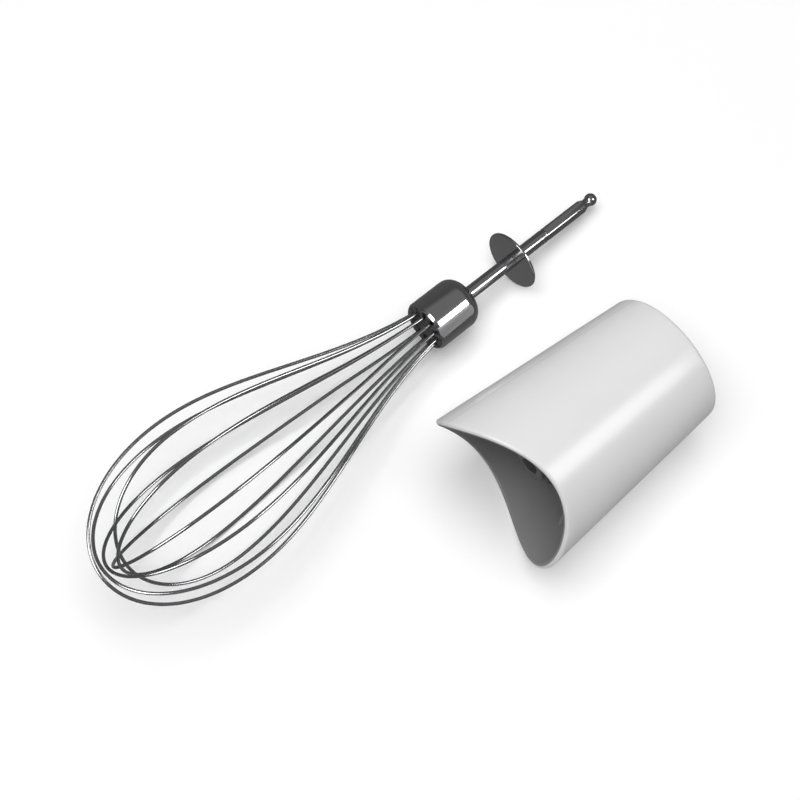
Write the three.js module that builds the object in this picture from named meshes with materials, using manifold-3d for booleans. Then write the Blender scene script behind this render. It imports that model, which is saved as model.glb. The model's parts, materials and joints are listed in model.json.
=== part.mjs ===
// Whisk attachment of an immersion blender, in millimetres, +Z up, laid out on a table as two pieces:
// the drive adapter, whose wide end plugs onto the motor handle, and the wire whisk that it turns.
import * as THREE from "three";
import { mergeVertices } from "three/addons/utils/BufferGeometryUtils.js";
import Module from "manifold-3d";

const wasm = await Module();
wasm.setup();

// ---------- Clearances ----------
const RUNNING_GAP = 0.08; // between a shaft and the hole that it turns in, on the radius
const SEAT_GAP = 0.12; // between pieces that are pressed or screwed together
const END_GAP = 0.4; // between the end faces of pieces that turn past each other

// ---------- Whisk shaft and its stop disc; z = 0 at the disc, +z towards the ball ----------
const SHAFT_RADIUS = 2.5;
const SHAFT_REACH = 35.6; // disc to the shoulder where the shaft narrows
const SHOULDER_LENGTH = 2.0;
const NECK_RADIUS = 1.7;
const BALL_RADIUS = 2.4;
const BALL_REACH = 40.6; // disc to the middle of the ball
const FLAT_DEPTH = 0.35; // how deep the two driving flats are cut
const FLAT_START = 15.8;
const NOTCH_DEPTH = 0.3; // ring groove where the flats start
const NOTCH_WIDTH = 0.9;
const DISC_RADIUS = 11.6;
const DISC_THICKNESS = 1.0;

// ---------- Collar and hub that hold the wires ----------
const COLLAR_WALL = 0.9;
const COLLAR_TOP = 23.3; // disc to the closed end of the collar
const COLLAR_LENGTH = 19.9;
const COLLAR_ROUND = 5.1;
const COLLAR_LIP = [0.3, 0.6]; // how far the open end's edge is bevelled, across and along
const HUB_COVER = 1.63; // hub outside the wires, under the collar's wall
const HUB_PROUD = 0.4; // how far the hub stands out of the collar
const HUB_EDGE = 0.3;
const SHAFT_SEAT = 1; // the shaft's end, up from the collar's open end
const SLOT_ROOM = 0.4; // under a wire in its slot, where the wire goes deepest
const WIRE_RADIUS = 0.6;
const WIRE_SLOT_GAP = 0.15; // between a wire and the slot that holds it
const WIRE_GRIP = 11; // length of wire held in the hub
const LOOPS = 6;
const LOOP_TURN = 180 / LOOPS;
const FIRST_LOOP_TURN = 19.3; // of the longest loop, from the horizontal
const WIRE_CIRCLE = 6.47; // radius of the circle where the wires leave the hub
const WIRE_LEAN = 6.3; // degrees, outwards, where they leave it

// ---------- Wire loops ----------
const LOOP_LENGTH = 143.3; // hub face to the tip of the longest loop
const LOOP_STEP = 1.77; // each next loop is this much shorter, so that the loops nest at the tip
const BELLY_RADIUS = 29.5;
const BELLY_STEP = 0.37;
const BELLY_REACH = 98.4; // hub face to the widest place
const HUB_HANDLE = 37.6; // lengths of the curve's handles: at the hub, before the belly and after it
const BELLY_HANDLE = 31.4;
const BELLY_FRONT = 0.618; // share of the stretch from the belly to the tip
const TIP_FLATNESS = 0.528; // share of the belly's radius
const LOOP_STEPS = 50;
const STRAY_LOOP = 4; // this loop has sprung round a little between the hub and its belly
const STRAY_TURN = 6.8; // degrees

// ---------- Adapter shell; z = 0 at the nose, +z towards the open mouth ----------
const SHELL_TAPER = 4.423; // degrees, the slope of the wall
const SHELL_WALL = 2.3;
const GEARBOX_ROOM = 0.22; // between the gearbox's ears and the shell, at their tightest
const MOUTH_DEPTH = 19.8; // gearbox cover to the mean height of the mouth's rim
const NOSE_WALL = 2.8;
const NOSE_ROUND = 1.8;
const RIM_WAVE = 6.64; // the rim rises and falls by this, twice round
const RIM_LEAN = 2.6; // and by this, once round
const RIM_LEAN_TURN = -69; // degrees from the first lobe to the lean's high side
const RIM_DEPTH = 23; // mean rim to the height below which the wall is the same all round
const SHELL_ROLL = 30.8; // degrees, of the lobes from the horizontal as the adapter lies
const CATCH_COUNT = 2;
const CATCH_TURN = -17; // degrees from the first lobe to the first catch
const CATCH_HEIGHT = 3.0;
const CATCH_LENGTH = 7.0;
const CATCH_WIDTH = 1.4;
const CATCH_LIFT = 2.7; // from the gearbox cover to the catches

// ---------- Gear train ----------
const GEAR_MODULE = 0.8;
const SUN_TEETH = 12;
const PLANET_TEETH = 15;
const RING_TEETH = SUN_TEETH + 2 * PLANET_TEETH;
const PLANETS = 3;
const PRESSURE_ANGLE = THREE.MathUtils.degToRad(25);
const ADDENDUM = 0.8; // in modules, as the next two
const DEDENDUM = 1.15;
const TOOTH_PLAY = 0.16;
const GEAR_WIDTH = 6.4;
const RING_RIM = 2.2; // metal behind the ring gear's teeth

// ---------- Gearbox ----------
const SPINDLE_WALL = 2.9;
const SOCKET_GAP = 0.12; // between the whisk's shaft and the spindle's socket
const SPINDLE_END = 2.9; // solid end behind the socket
const PILOT_DEPTH = 1.6;
const BUSH_WALL = 2.6;
const BUSH_LENGTH = 6;
const REAR_BUSH_START = 27;
const NECK_WALL = 1.2;
const SPINDLE_START = 0.8; // the spindle's mouth, behind the nose
const SEAL_WIDTH = 2.4;
const SEAL_SET_BACK = 0.2; // of the seal's face, behind the spindle's mouth
const SEAL_BITE = 0.05;
const CASE_FLOOR = 2.0;
const CASE_WALL = 2.0;
const COVER_THICKNESS = 2.2;
const COVER_BOSS = 2.2;
const CARRIER_THICKNESS = 2.4;
const CARRIER_MARGIN = 3.1; // metal outside the planet pins' circle
const PIN_RADIUS = 1.25;
const INPUT_RADIUS = 1.5;
const INPUT_BUSH_WALL = 1.9;
const COUPLING_RADIUS = 6.5;
const COUPLING_LENGTH = 5.8;
const COUPLING_SOCKET = 3.9; // to the corners of the driver's hexagonal hole
const COUPLING_SOCKET_DEPTH = 4.8;
const COUPLING_EDGE = 0.6;
const SCREW_RADIUS = 1.15;
const SCREW_HEAD_RADIUS = 2.1;
const SCREW_HEAD_HEIGHT = 1.5;
const SCREW_EDGE = 0.5;
const CROSS_SLOT = [2.4, 0.6]; // length and width of the recess's two slots
const CROSS_DEPTH = 0.9;
const SCREW_BITE = 9; // length of screw in the shell's post
const EAR_RADIUS = 2.6;
const EAR_SINK = 0.3; // how far a screw's circle stands in over the case's wall
const EAR_TURN = 60;
const POST_WIDTH = 5.2;
const POST_HEIGHT = 14;
const CLIP_WIRE = 0.45;
const CLIP_OPENING = 70; // degrees
const CLIP_GROOVE = 1.4; // width of the spring's groove
const CLIP_PLAY = 0.15; // between the spring and the groove's floor

// ---------- Layout on the table ----------
const ADAPTER_ASIDE = 66.5; // from the whisk's axis to the adapter's nose, across the table
const ADAPTER_AHEAD = 9.4; // and along it
const ADAPTER_TURN = 1.87; // degrees, the adapter's heading from the whisk's

const FINE = 60; // sides of the shell
const MEDIUM = 40; // of the other large round pieces
const ROUND = 32; // of the small ones
const SMALL = 20; // of screws and their holes
const WIRE_SIDES = 6;
const radians = THREE.MathUtils.degToRad;
const AXIS = new THREE.Vector3(0, 0, 1);

// ---------- Materials ----------
const finish = (color, roughness, metalness) =>
  new THREE.MeshStandardMaterial({ color, roughness, metalness });
const glossWhite = finish(0xe4e5e6, 0.22, 0.0);
const polishedSteel = finish(0xb9bbbe, 0.12, 1.0);
const shaftSteel = finish(0xa5a7aa, 0.2, 1.0);
const wireSteel = finish(0xacaeb1, 0.15, 1.0);
const greyPlastic = finish(0x55575a, 0.45, 0.0);
const naturalNylon = finish(0xd9d3c1, 0.5, 0.0);
const bronze = finish(0xa9793f, 0.4, 1.0);
const blackRubber = finish(0x1c1c1e, 0.8, 0.0);
const springSteel = finish(0x8d9094, 0.25, 1.0);

// ---------- Shape helpers ----------
function solid(geometry) {
  const bare = geometry.clone();
  bare.deleteAttribute("normal");
  bare.deleteAttribute("uv");
  const merged = mergeVertices(bare, 1e-4);
  return new wasm.Manifold(
    new wasm.Mesh({
      numProp: 3,
      vertProperties: merged.attributes.position.array,
      triVerts: new Uint32Array(merged.index.array),
    }),
  );
}

function surface(body) {
  const { vertProperties, triVerts } = body.getMesh();
  return new THREE.BufferGeometry()
    .setAttribute("position", new THREE.BufferAttribute(vertProperties, 3))
    .setIndex(new THREE.BufferAttribute(triVerts, 1));
}

const cutFrom = (geometry, ...tools) =>
  surface(tools.reduce((body, tool) => body.subtract(solid(tool)), solid(geometry)));
const joined = (geometry, ...others) =>
  surface(others.reduce((body, other) => body.add(solid(other)), solid(geometry)));

// A profile of [radius, z] corners, anticlockwise, turned round the z axis.
function lathe(profile, sides = ROUND) {
  const corners = profile.map(([r, z]) => new THREE.Vector2(r, z));
  return new THREE.LatheGeometry(corners, sides).rotateX(Math.PI / 2);
}

function ring(inner, outer, low, high, sides = ROUND) {
  return lathe([[inner, low], [outer, low], [outer, high], [inner, high], [inner, low]], sides);
}

function rod(radius, low, high, sides = ROUND) {
  return lathe([[0, low], [radius, low], [radius, high], [0, high]], sides);
}

// A quarter circle of [radius, z] points, from one angle to another, about a centre.
function arc(centreR, centreZ, radius, from, to, steps) {
  return Array.from({ length: steps + 1 }, (_, i) => {
    const a = radians(from + ((to - from) * i) / steps);
    return [centreR + radius * Math.cos(a), centreZ + radius * Math.sin(a)];
  });
}

function prism(outline, low, high, holes = []) {
  const shape = new THREE.Shape(outline);
  shape.holes = holes.map((hole) => new THREE.Path(hole));
  return new THREE.ExtrudeGeometry(shape, { depth: high - low, bevelEnabled: false, steps: 1 })
    .translate(0, 0, low);
}

function block(width, depth, low, high) {
  return new THREE.BoxGeometry(width, depth, high - low).translate(0, 0, (low + high) / 2);
}

const circle = (radius, sides = ROUND) =>
  Array.from({ length: sides }, (_, i) => {
    const a = (2 * Math.PI * i) / sides;
    return new THREE.Vector2(radius * Math.cos(a), radius * Math.sin(a));
  });

function piece(name, geometry, material) {
  const mesh = new THREE.Mesh(geometry, material);
  mesh.name = name;
  return mesh;
}

// ---------- Gears ----------
const involute = (angle) => Math.tan(angle) - angle;

// Outline of a gear with a tooth in the middle of the +x axis, from its root radius to its tip radius.
function gearOutline(teeth, root, tip, play) {
  const pitch = (GEAR_MODULE * teeth) / 2;
  const base = pitch * Math.cos(PRESSURE_ANGLE);
  const halfAtPitch = Math.PI / (2 * teeth) - play / (2 * pitch);
  const halfTooth = (r) =>
    halfAtPitch + involute(PRESSURE_ANGLE) - (r > base ? involute(Math.acos(base / r)) : 0);
  const heights = [root, Math.max(base, (root + tip) / 2), tip];
  const outline = [];
  for (let tooth = 0; tooth < teeth; tooth++) {
    const middle = (2 * Math.PI * tooth) / teeth;
    const flank = (r, side) => {
      const a = middle + side * halfTooth(r);
      return new THREE.Vector2(r * Math.cos(a), r * Math.sin(a));
    };
    outline.push(...heights.map((r) => flank(r, -1)));
    outline.push(...heights.toReversed().map((r) => flank(r, 1)));
  }
  return outline;
}

const pitchRadius = (teeth) => (GEAR_MODULE * teeth) / 2;

function outerGear(teeth, low, high, bore) {
  const pitch = pitchRadius(teeth);
  const root = pitch - DEDENDUM * GEAR_MODULE;
  const tip = pitch + ADDENDUM * GEAR_MODULE;
  return prism(gearOutline(teeth, root, tip, TOOTH_PLAY), low, high, [circle(bore)]);
}

// The ring's spaces are a gear's teeth made wider by the play; one space is on the +x axis.
function ringGear(teeth, low, high, outer) {
  const pitch = pitchRadius(teeth);
  const spaces = gearOutline(
    teeth, pitch - ADDENDUM * GEAR_MODULE, pitch + DEDENDUM * GEAR_MODULE, -TOOTH_PLAY);
  return prism(circle(outer, MEDIUM), low, high, [spaces]);
}

// ---------- Heights in the adapter, from the nose up ----------
const socketRadius = SHAFT_RADIUS + SOCKET_GAP;
const spindleRadius = socketRadius + SPINDLE_WALL;
const socketDepth = BALL_REACH + BALL_RADIUS - DISC_THICKNESS / 2 + END_GAP;
const spindleTop = socketDepth + SPINDLE_END;
const bushRadius = spindleRadius + RUNNING_GAP + BUSH_WALL;
const neckBore = bushRadius + SEAT_GAP;
const neckRadius = neckBore + NECK_WALL;
const carrierTop = spindleTop;
const carrierBottom = carrierTop - CARRIER_THICKNESS;
const caseFloorTop = carrierBottom - END_GAP;
const caseBottom = caseFloorTop - CASE_FLOOR;
const gearLow = carrierTop + END_GAP;
const gearHigh = gearLow + GEAR_WIDTH;
const caseTop = gearHigh + END_GAP;
const coverLow = caseTop + SEAT_GAP;
const coverHigh = coverLow + COVER_THICKNESS;
const bossTop = coverHigh + COVER_BOSS;
const couplingLow = bossTop + END_GAP;
const couplingHigh = couplingLow + COUPLING_LENGTH;
const clipHeight = SHAFT_REACH + SHOULDER_LENGTH - DISC_THICKNESS / 2;
const frontBushStart = SPINDLE_START + SEAL_WIDTH + SEAT_GAP;

const orbitRadius = pitchRadius(SUN_TEETH) + pitchRadius(PLANET_TEETH);
const ringRoot = pitchRadius(RING_TEETH) + DEDENDUM * GEAR_MODULE;
const ringOuter = ringRoot + RING_RIM;
const caseBore = ringOuter + SEAT_GAP;
const caseRadius = caseBore + CASE_WALL;
const earCircle = caseRadius + SCREW_RADIUS - EAR_SINK;
const earTurns = Array.from({ length: 3 }, (_, i) => radians(EAR_TURN + 120 * i));
const planetTurns = Array.from({ length: PLANETS }, (_, i) => (2 * Math.PI * i) / PLANETS);

// ---------- Adapter shell, drawn round the gearbox ----------
const shellSlope = Math.tan(radians(SHELL_TAPER));
const shellLength = coverHigh + MOUTH_DEPTH;
const shellBore = (z) => earCircle + EAR_RADIUS + GEARBOX_ROOM + shellSlope * (z - caseBottom);
const shellRadius = (z) => shellBore(z) + SHELL_WALL;
const noseRadius = shellRadius(0);
const rimRoot = shellLength - RIM_DEPTH;
const catchBase = coverHigh + CATCH_LIFT;
const rimHeight = (turn) =>
  shellLength + RIM_WAVE * Math.cos(2 * turn) + RIM_LEAN * Math.cos(turn - radians(RIM_LEAN_TURN));

function housingShell() {
  const lip = SHELL_WALL / 2;
  const noseArc = arc(noseRadius - NOSE_ROUND, NOSE_ROUND, NOSE_ROUND, -90, 0, 3);
  const lipArc = arc(shellRadius(shellLength) - lip, shellLength - lip, lip, 0, 180, 4);
  const noseHole = neckRadius + SEAT_GAP;
  const profile = [
    [noseHole, 0],
    ...noseArc,
    [shellRadius(rimRoot), rimRoot],
    ...lipArc,
    [shellBore(rimRoot), rimRoot],
    [shellBore(NOSE_WALL), NOSE_WALL],
    [noseHole, NOSE_WALL],
    [noseHole, 0],
  ];
  const tube = lathe(profile, FINE);
  const at = tube.attributes.position;
  // The rows above the root are drawn up or down to the rim's height at their place round the tube.
  for (let i = 0; i < at.count; i++) {
    const [x, y, z] = [at.getX(i), at.getY(i), at.getZ(i)];
    if (z <= rimRoot + 1e-6) continue;
    const turn = Math.atan2(y, x);
    const stretch = (rimHeight(turn) - rimRoot) / (shellLength - rimRoot);
    const shift = (stretch - 1) * (Math.min(z, shellLength - lip) - rimRoot);
    const radius = Math.hypot(x, y) + shellSlope * shift;
    at.setXYZ(i, radius * Math.cos(turn), radius * Math.sin(turn), z + shift);
  }
  const postTop = caseBottom - SEAT_GAP;
  const postLow = postTop - POST_HEIGHT;
  const postInner = earCircle - EAR_RADIUS;
  const postOuter = shellBore(postTop) + SHELL_WALL / 3;
  const posts = earTurns.map((turn) =>
    block(postOuter - postInner, POST_WIDTH, postLow, postTop)
      .translate((postInner + postOuter) / 2, 0, 0)
      .rotateZ(turn));
  const pilots = earTurns.map((turn) =>
    rod(SCREW_RADIUS + RUNNING_GAP, postTop - SCREW_BITE - END_GAP, postTop + 1, SMALL)
      .translate(earCircle, 0, 0)
      .rotateZ(turn));
  return cutFrom(joined(tube, ...posts, ...catches()), ...pilots);
}

// Small triangular plates on the inside wall, below the rim, that find the motor handle's slots.
function catches() {
  return Array.from({ length: CATCH_COUNT }, (_, i) => {
    const wallLow = shellBore(catchBase) + SHELL_WALL / 3;
    const wallHigh = shellBore(catchBase + CATCH_LENGTH) + SHELL_WALL / 3;
    const tip = shellBore(catchBase) - CATCH_HEIGHT;
    const triangle = [[wallLow, catchBase], [wallHigh, catchBase + CATCH_LENGTH], [tip, catchBase]];
    return prism(triangle.map(([r, z]) => new THREE.Vector2(r, z)), -CATCH_WIDTH / 2, CATCH_WIDTH / 2)
      .rotateX(Math.PI / 2)
      .rotateZ(radians(CATCH_TURN + (360 / CATCH_COUNT) * i));
  });
}

// ---------- Gearbox pieces ----------
const screwHoles = (low, high) =>
  earTurns.map((turn) =>
    rod(SCREW_RADIUS + SEAT_GAP, low, high, SMALL).translate(earCircle, 0, 0).rotateZ(turn));
const ears = (low, high) =>
  earTurns.map((turn) => rod(EAR_RADIUS, low, high, SMALL).translate(earCircle, 0, 0).rotateZ(turn));

function gearboxCase() {
  const profile = [
    [neckBore, SPINDLE_START],
    [neckRadius, SPINDLE_START],
    [neckRadius, caseBottom],
    [caseRadius, caseBottom],
    [caseRadius, caseTop],
    [caseBore, caseTop],
    [caseBore, caseFloorTop],
    [neckBore, caseFloorTop],
    [neckBore, SPINDLE_START],
  ];
  const bowl = joined(lathe(profile, MEDIUM), ...ears(caseBottom, caseTop));
  const inside = rod(caseBore, caseFloorTop, caseTop + 1, MEDIUM);
  return cutFrom(bowl, inside, ...screwHoles(caseBottom - 1, caseTop + 1));
}

function gearboxCover() {
  const bore = INPUT_RADIUS + RUNNING_GAP + INPUT_BUSH_WALL + SEAT_GAP;
  const bossRadius = bore + NECK_WALL;
  const profile = [
    [bore, coverLow],
    [caseRadius, coverLow],
    [caseRadius, coverHigh],
    [bossRadius, coverHigh],
    [bossRadius, bossTop],
    [bore, bossTop],
    [bore, coverLow],
  ];
  const plate = joined(lathe(profile, MEDIUM), ...ears(coverLow, coverHigh));
  return cutFrom(plate, ...screwHoles(coverLow - 1, coverHigh + 1));
}

// Pan-head screw with a cross recess, standing on the cover with its point towards the nose.
function gearboxScrew() {
  const top = coverHigh + SEAT_GAP + SCREW_HEAD_HEIGHT;
  const point = caseBottom - SEAT_GAP - SCREW_BITE;
  const seat = top - SCREW_HEAD_HEIGHT;
  const profile = [
    [0, point],
    [SCREW_RADIUS, point + SCREW_RADIUS],
    [SCREW_RADIUS, seat],
    [SCREW_HEAD_RADIUS, seat],
    [SCREW_HEAD_RADIUS, top - SCREW_EDGE],
    [SCREW_HEAD_RADIUS - SCREW_EDGE, top],
    [0, top],
  ];
  const slot = block(...CROSS_SLOT, top - CROSS_DEPTH, top + 1);
  return cutFrom(lathe(profile, SMALL), slot, slot.clone().rotateZ(Math.PI / 2));
}

function outputSpindle() {
  const drive = rod(socketRadius, SPINDLE_START - 1, socketDepth, 32);
  // Two flats in the socket turn the whisk's shaft by the flats on it.
  const land = SHAFT_RADIUS - FLAT_DEPTH + SOCKET_GAP;
  const flatLow = socketDepth - (BALL_REACH + BALL_RADIUS - SHAFT_REACH) - END_GAP;
  const key = (side) =>
    block(2 * socketRadius, socketRadius, FLAT_START + NOTCH_WIDTH, flatLow)
      .translate(0, side * (land + socketRadius / 2), 0);
  const socket = cutFrom(drive, key(1), key(-1));
  const pilot = rod(INPUT_RADIUS + RUNNING_GAP, spindleTop - PILOT_DEPTH, spindleTop + 1, 32);
  const grooveInner = spindleRadius - CLIP_WIRE;
  const groove = ring(grooveInner, spindleRadius + 1, clipHeight - CLIP_GROOVE / 2, clipHeight + CLIP_GROOVE / 2);
  return cutFrom(rod(spindleRadius, SPINDLE_START, spindleTop), socket, pilot, groove);
}

// A C of round wire in the spindle's groove, which grips the ball's neck through the wall.
function retainingSpring() {
  const radius = spindleRadius + CLIP_WIRE / 2 + CLIP_PLAY;
  const span = radians(360 - CLIP_OPENING);
  const path = new THREE.CatmullRomCurve3(
    Array.from({ length: 17 }, (_, i) => {
      const a = radians(CLIP_OPENING / 2) + (span * i) / 16;
      return new THREE.Vector3(radius * Math.cos(a), radius * Math.sin(a), clipHeight);
    }));
  return wire(path, CLIP_WIRE, 28);
}

function planetCarrier() {
  const disc = ring(spindleRadius + SEAT_GAP, orbitRadius + CARRIER_MARGIN, carrierBottom, carrierTop, MEDIUM);
  const holes = planetTurns.map((turn) =>
    rod(PIN_RADIUS + SEAT_GAP, carrierBottom - 1, carrierTop + 1, 24)
      .translate(orbitRadius, 0, 0)
      .rotateZ(turn));
  return cutFrom(disc, ...holes);
}

function driveCoupling() {
  const bore = INPUT_RADIUS + SEAT_GAP;
  const floor = couplingHigh - COUPLING_SOCKET_DEPTH;
  const profile = [
    [bore, couplingLow],
    [COUPLING_RADIUS, couplingLow],
    [COUPLING_RADIUS, couplingHigh - COUPLING_EDGE],
    [COUPLING_RADIUS - COUPLING_EDGE, couplingHigh],
    [bore, couplingHigh],
    [bore, couplingLow],
  ];
  const hexagon = rod(COUPLING_SOCKET, floor, couplingHigh + 1, 6);
  return cutFrom(lathe(profile), hexagon);
}

// ---------- Whisk pieces ----------
// A round wire along a curve.
function wire(path, radius, steps) {
  return new THREE.ExtrudeGeometry(new THREE.Shape(circle(radius, WIRE_SIDES)), {
    extrudePath: path,
    steps,
    bevelEnabled: false,
  });
}

const collarBore = WIRE_CIRCLE + WIRE_RADIUS + HUB_COVER;
const collarRadius = collarBore + COLLAR_WALL;
const collarLow = -(COLLAR_TOP + COLLAR_LENGTH);
const hubFace = collarLow - HUB_PROUD;
const hubTop = -(COLLAR_TOP + COLLAR_WALL + SEAT_GAP);
const hubRadius = collarBore - SEAT_GAP;

function driveShaft() {
  const low = collarLow + SHAFT_SEAT;
  const ballStart = Math.asin(NECK_RADIUS / BALL_RADIUS);
  const ball = arc(0, BALL_REACH, BALL_RADIUS, -90 + THREE.MathUtils.radToDeg(ballStart), 90, 6);
  const grooveEnd = FLAT_START + NOTCH_WIDTH;
  const profile = [
    [0, low],
    [SHAFT_RADIUS, low],
    [SHAFT_RADIUS, FLAT_START],
    [SHAFT_RADIUS - NOTCH_DEPTH, FLAT_START],
    [SHAFT_RADIUS - NOTCH_DEPTH, grooveEnd],
    [SHAFT_RADIUS, grooveEnd],
    [SHAFT_RADIUS, SHAFT_REACH],
    [NECK_RADIUS, SHAFT_REACH + SHOULDER_LENGTH],
    ...ball.slice(0, -1),
    [0, BALL_REACH + BALL_RADIUS],
  ];
  const flat = (side) =>
    block(2 * BALL_RADIUS + 1, SHAFT_RADIUS, grooveEnd, SHAFT_REACH + SHOULDER_LENGTH)
      .translate(0, side * (1.5 * SHAFT_RADIUS - FLAT_DEPTH), 0);
  return cutFrom(lathe(profile, 28), flat(1), flat(-1));
}

function collar() {
  const inner = collarBore;
  const top = -COLLAR_TOP;
  const shoulder = (radius) =>
    arc(collarRadius - COLLAR_ROUND, top - COLLAR_ROUND, radius, 0, 90, 4);
  const bore = SHAFT_RADIUS + SEAT_GAP;
  return lathe([
    [inner, collarLow],
    [collarRadius - COLLAR_LIP[0], collarLow],
    [collarRadius, collarLow + COLLAR_LIP[1]],
    ...shoulder(COLLAR_ROUND),
    [bore, top],
    [bore, top - COLLAR_WALL],
    ...shoulder(COLLAR_ROUND - COLLAR_WALL).toReversed(),
    [inner, collarLow],
  ], MEDIUM);
}

function wireHub() {
  const round = COLLAR_ROUND - COLLAR_WALL - SEAT_GAP;
  const bore = SHAFT_RADIUS + SEAT_GAP;
  const core = lathe([
    [0, hubFace],
    [hubRadius - HUB_EDGE, hubFace],
    [hubRadius, hubFace + HUB_EDGE],
    ...arc(hubRadius - round, hubTop - round, round, 0, 90, 3),
    [bore, hubTop],
    [bore, collarLow + SHAFT_SEAT - SEAT_GAP],
    [0, collarLow + SHAFT_SEAT - SEAT_GAP],
  ], MEDIUM);
  const slotWidth = 2 * (WIRE_RADIUS + WIRE_SLOT_GAP);
  const slotFloor = WIRE_CIRCLE - WIRE_GRIP * Math.tan(radians(WIRE_LEAN)) - WIRE_RADIUS - SLOT_ROOM;
  const slots = Array.from({ length: 2 * LOOPS }, (_, i) =>
    block(collarRadius - slotFloor, slotWidth, hubFace - 1, hubFace + WIRE_GRIP + SEAT_GAP)
      .translate((collarRadius + slotFloor) / 2, 0, 0)
      .rotateZ(radians(FIRST_LOOP_TURN + LOOP_TURN * i)));
  return cutFrom(core, ...slots);
}

// Half of a loop as [radius, distance from the hub's face] curves: out of the hub to the belly, and
// from there round to the tip.
function loopHalf(index) {
  const belly = BELLY_RADIUS - BELLY_STEP * index;
  const length = LOOP_LENGTH - LOOP_STEP * index;
  const lean = radians(WIRE_LEAN);
  const at = (r, s) => new THREE.Vector3(r, 0, hubFace - s);
  const grip = new THREE.LineCurve3(
    at(WIRE_CIRCLE - WIRE_GRIP * Math.tan(lean), -WIRE_GRIP), at(WIRE_CIRCLE, 0));
  const front = new THREE.CubicBezierCurve3(
    at(WIRE_CIRCLE, 0),
    at(WIRE_CIRCLE + HUB_HANDLE * Math.sin(lean), HUB_HANDLE * Math.cos(lean)),
    at(belly, BELLY_REACH - BELLY_HANDLE),
    at(belly, BELLY_REACH));
  const tip = new THREE.CubicBezierCurve3(
    at(belly, BELLY_REACH),
    at(belly, BELLY_REACH + BELLY_FRONT * (length - BELLY_REACH)),
    at(TIP_FLATNESS * belly, length),
    at(0, length));
  return [grip, front, tip];
}

function loopPath(index) {
  const half = loopHalf(index);
  const points = half.flatMap((curve, i) => curve.getPoints(i ? 24 : 3).slice(i ? 1 : 0));
  const mirrored = points.toReversed().slice(1).map((p) => new THREE.Vector3(-p.x, 0, p.z));
  const stray = index === STRAY_LOOP - 1 ? radians(STRAY_TURN) : 0;
  const path = [...points, ...mirrored].map((p) =>
    p.applyAxisAngle(AXIS, stray * THREE.MathUtils.smoothstep(hubFace - p.z, 0, HUB_HANDLE)));
  return new THREE.CatmullRomCurve3(path, false, "centripetal");
}

function wireLoop(index) {
  return wire(loopPath(index), WIRE_RADIUS, LOOP_STEPS).rotateZ(
    radians(FIRST_LOOP_TURN - LOOP_TURN * index));
}

// The tilt at which the disc's edge and the lowest wire both touch the table.
function restingTilt() {
  const turns = Array.from({ length: LOOPS }, (_, i) => FIRST_LOOP_TURN - LOOP_TURN * i);
  const tilts = turns.flatMap((turn, i) =>
    loopPath(i).getPoints(200).map((p) => {
      const drop = Math.abs(p.applyAxisAngle(AXIS, radians(turn)).y) + WIRE_RADIUS;
      return Math.atan2(drop - DISC_RADIUS, DISC_THICKNESS / 2 - p.z);
    }));
  return Math.max(...tilts);
}

// ---------- Assembly ----------
function adapter() {
  const group = new THREE.Group();
  group.name = "adapter";
  const bushBore = spindleRadius + RUNNING_GAP;
  group.add(
    piece("housing_shell", housingShell(), glossWhite),
    piece("gearbox_case", gearboxCase(), greyPlastic),
    piece("gearbox_cover", gearboxCover(), greyPlastic),
    piece("ring_gear", ringGear(RING_TEETH, gearLow, gearHigh, ringOuter), naturalNylon),
    piece("lip_seal",
      ring(spindleRadius + SEAL_BITE, bushRadius, SPINDLE_START + SEAL_SET_BACK, SPINDLE_START + SEAL_WIDTH),
      blackRubber),
    piece("front_bush", ring(bushBore, bushRadius, frontBushStart, frontBushStart + BUSH_LENGTH), bronze),
    piece("rear_bush", ring(bushBore, bushRadius, REAR_BUSH_START, REAR_BUSH_START + BUSH_LENGTH), bronze),
    piece("input_bush",
      ring(INPUT_RADIUS + RUNNING_GAP, INPUT_RADIUS + RUNNING_GAP + INPUT_BUSH_WALL, coverLow, bossTop),
      bronze),
    piece("output_spindle", outputSpindle(), shaftSteel),
    piece("planet_carrier", planetCarrier(), shaftSteel),
    piece("retaining_spring", retainingSpring(), springSteel),
    piece("input_shaft",
      rod(INPUT_RADIUS, spindleTop - PILOT_DEPTH + END_GAP, couplingHigh - COUPLING_SOCKET_DEPTH),
      shaftSteel),
    piece("sun_gear", outerGear(SUN_TEETH, gearLow, gearHigh, INPUT_RADIUS + SEAT_GAP), shaftSteel),
    piece("drive_coupling", driveCoupling(), greyPlastic),
  );
  earTurns.forEach((turn, i) => {
    const screw = piece(`gearbox_screw_${i + 1}`, gearboxScrew().translate(earCircle, 0, 0), polishedSteel);
    screw.rotation.z = turn;
    group.add(screw);
  });
  planetTurns.forEach((turn, i) => {
    // At rest each planet has a gap on the sun's tooth and a tooth in the ring's space.
    const planet = piece(`planet_gear_${i + 1}`,
      outerGear(PLANET_TEETH, gearLow, gearHigh, PIN_RADIUS + RUNNING_GAP).translate(orbitRadius, 0, 0),
      naturalNylon);
    const pin = piece(`planet_pin_${i + 1}`,
      rod(PIN_RADIUS, carrierBottom, gearHigh + END_GAP / 2, 32).translate(orbitRadius, 0, 0),
      shaftSteel);
    planet.rotation.z = turn;
    pin.rotation.z = turn;
    group.add(planet, pin);
  });
  return group;
}

function whisk() {
  const group = new THREE.Group();
  group.name = "whisk";
  const half = DISC_THICKNESS / 2;
  group.add(
    piece("drive_shaft", driveShaft(), shaftSteel),
    piece("stop_disc", ring(SHAFT_RADIUS + SEAT_GAP, DISC_RADIUS, -half, half, MEDIUM), polishedSteel),
    piece("collar", collar(), polishedSteel),
    piece("wire_hub", wireHub(), greyPlastic),
  );
  for (let i = 0; i < LOOPS; i++) {
    group.add(piece(`wire_loop_${i + 1}`, wireLoop(i), wireSteel));
  }
  return group;
}

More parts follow.
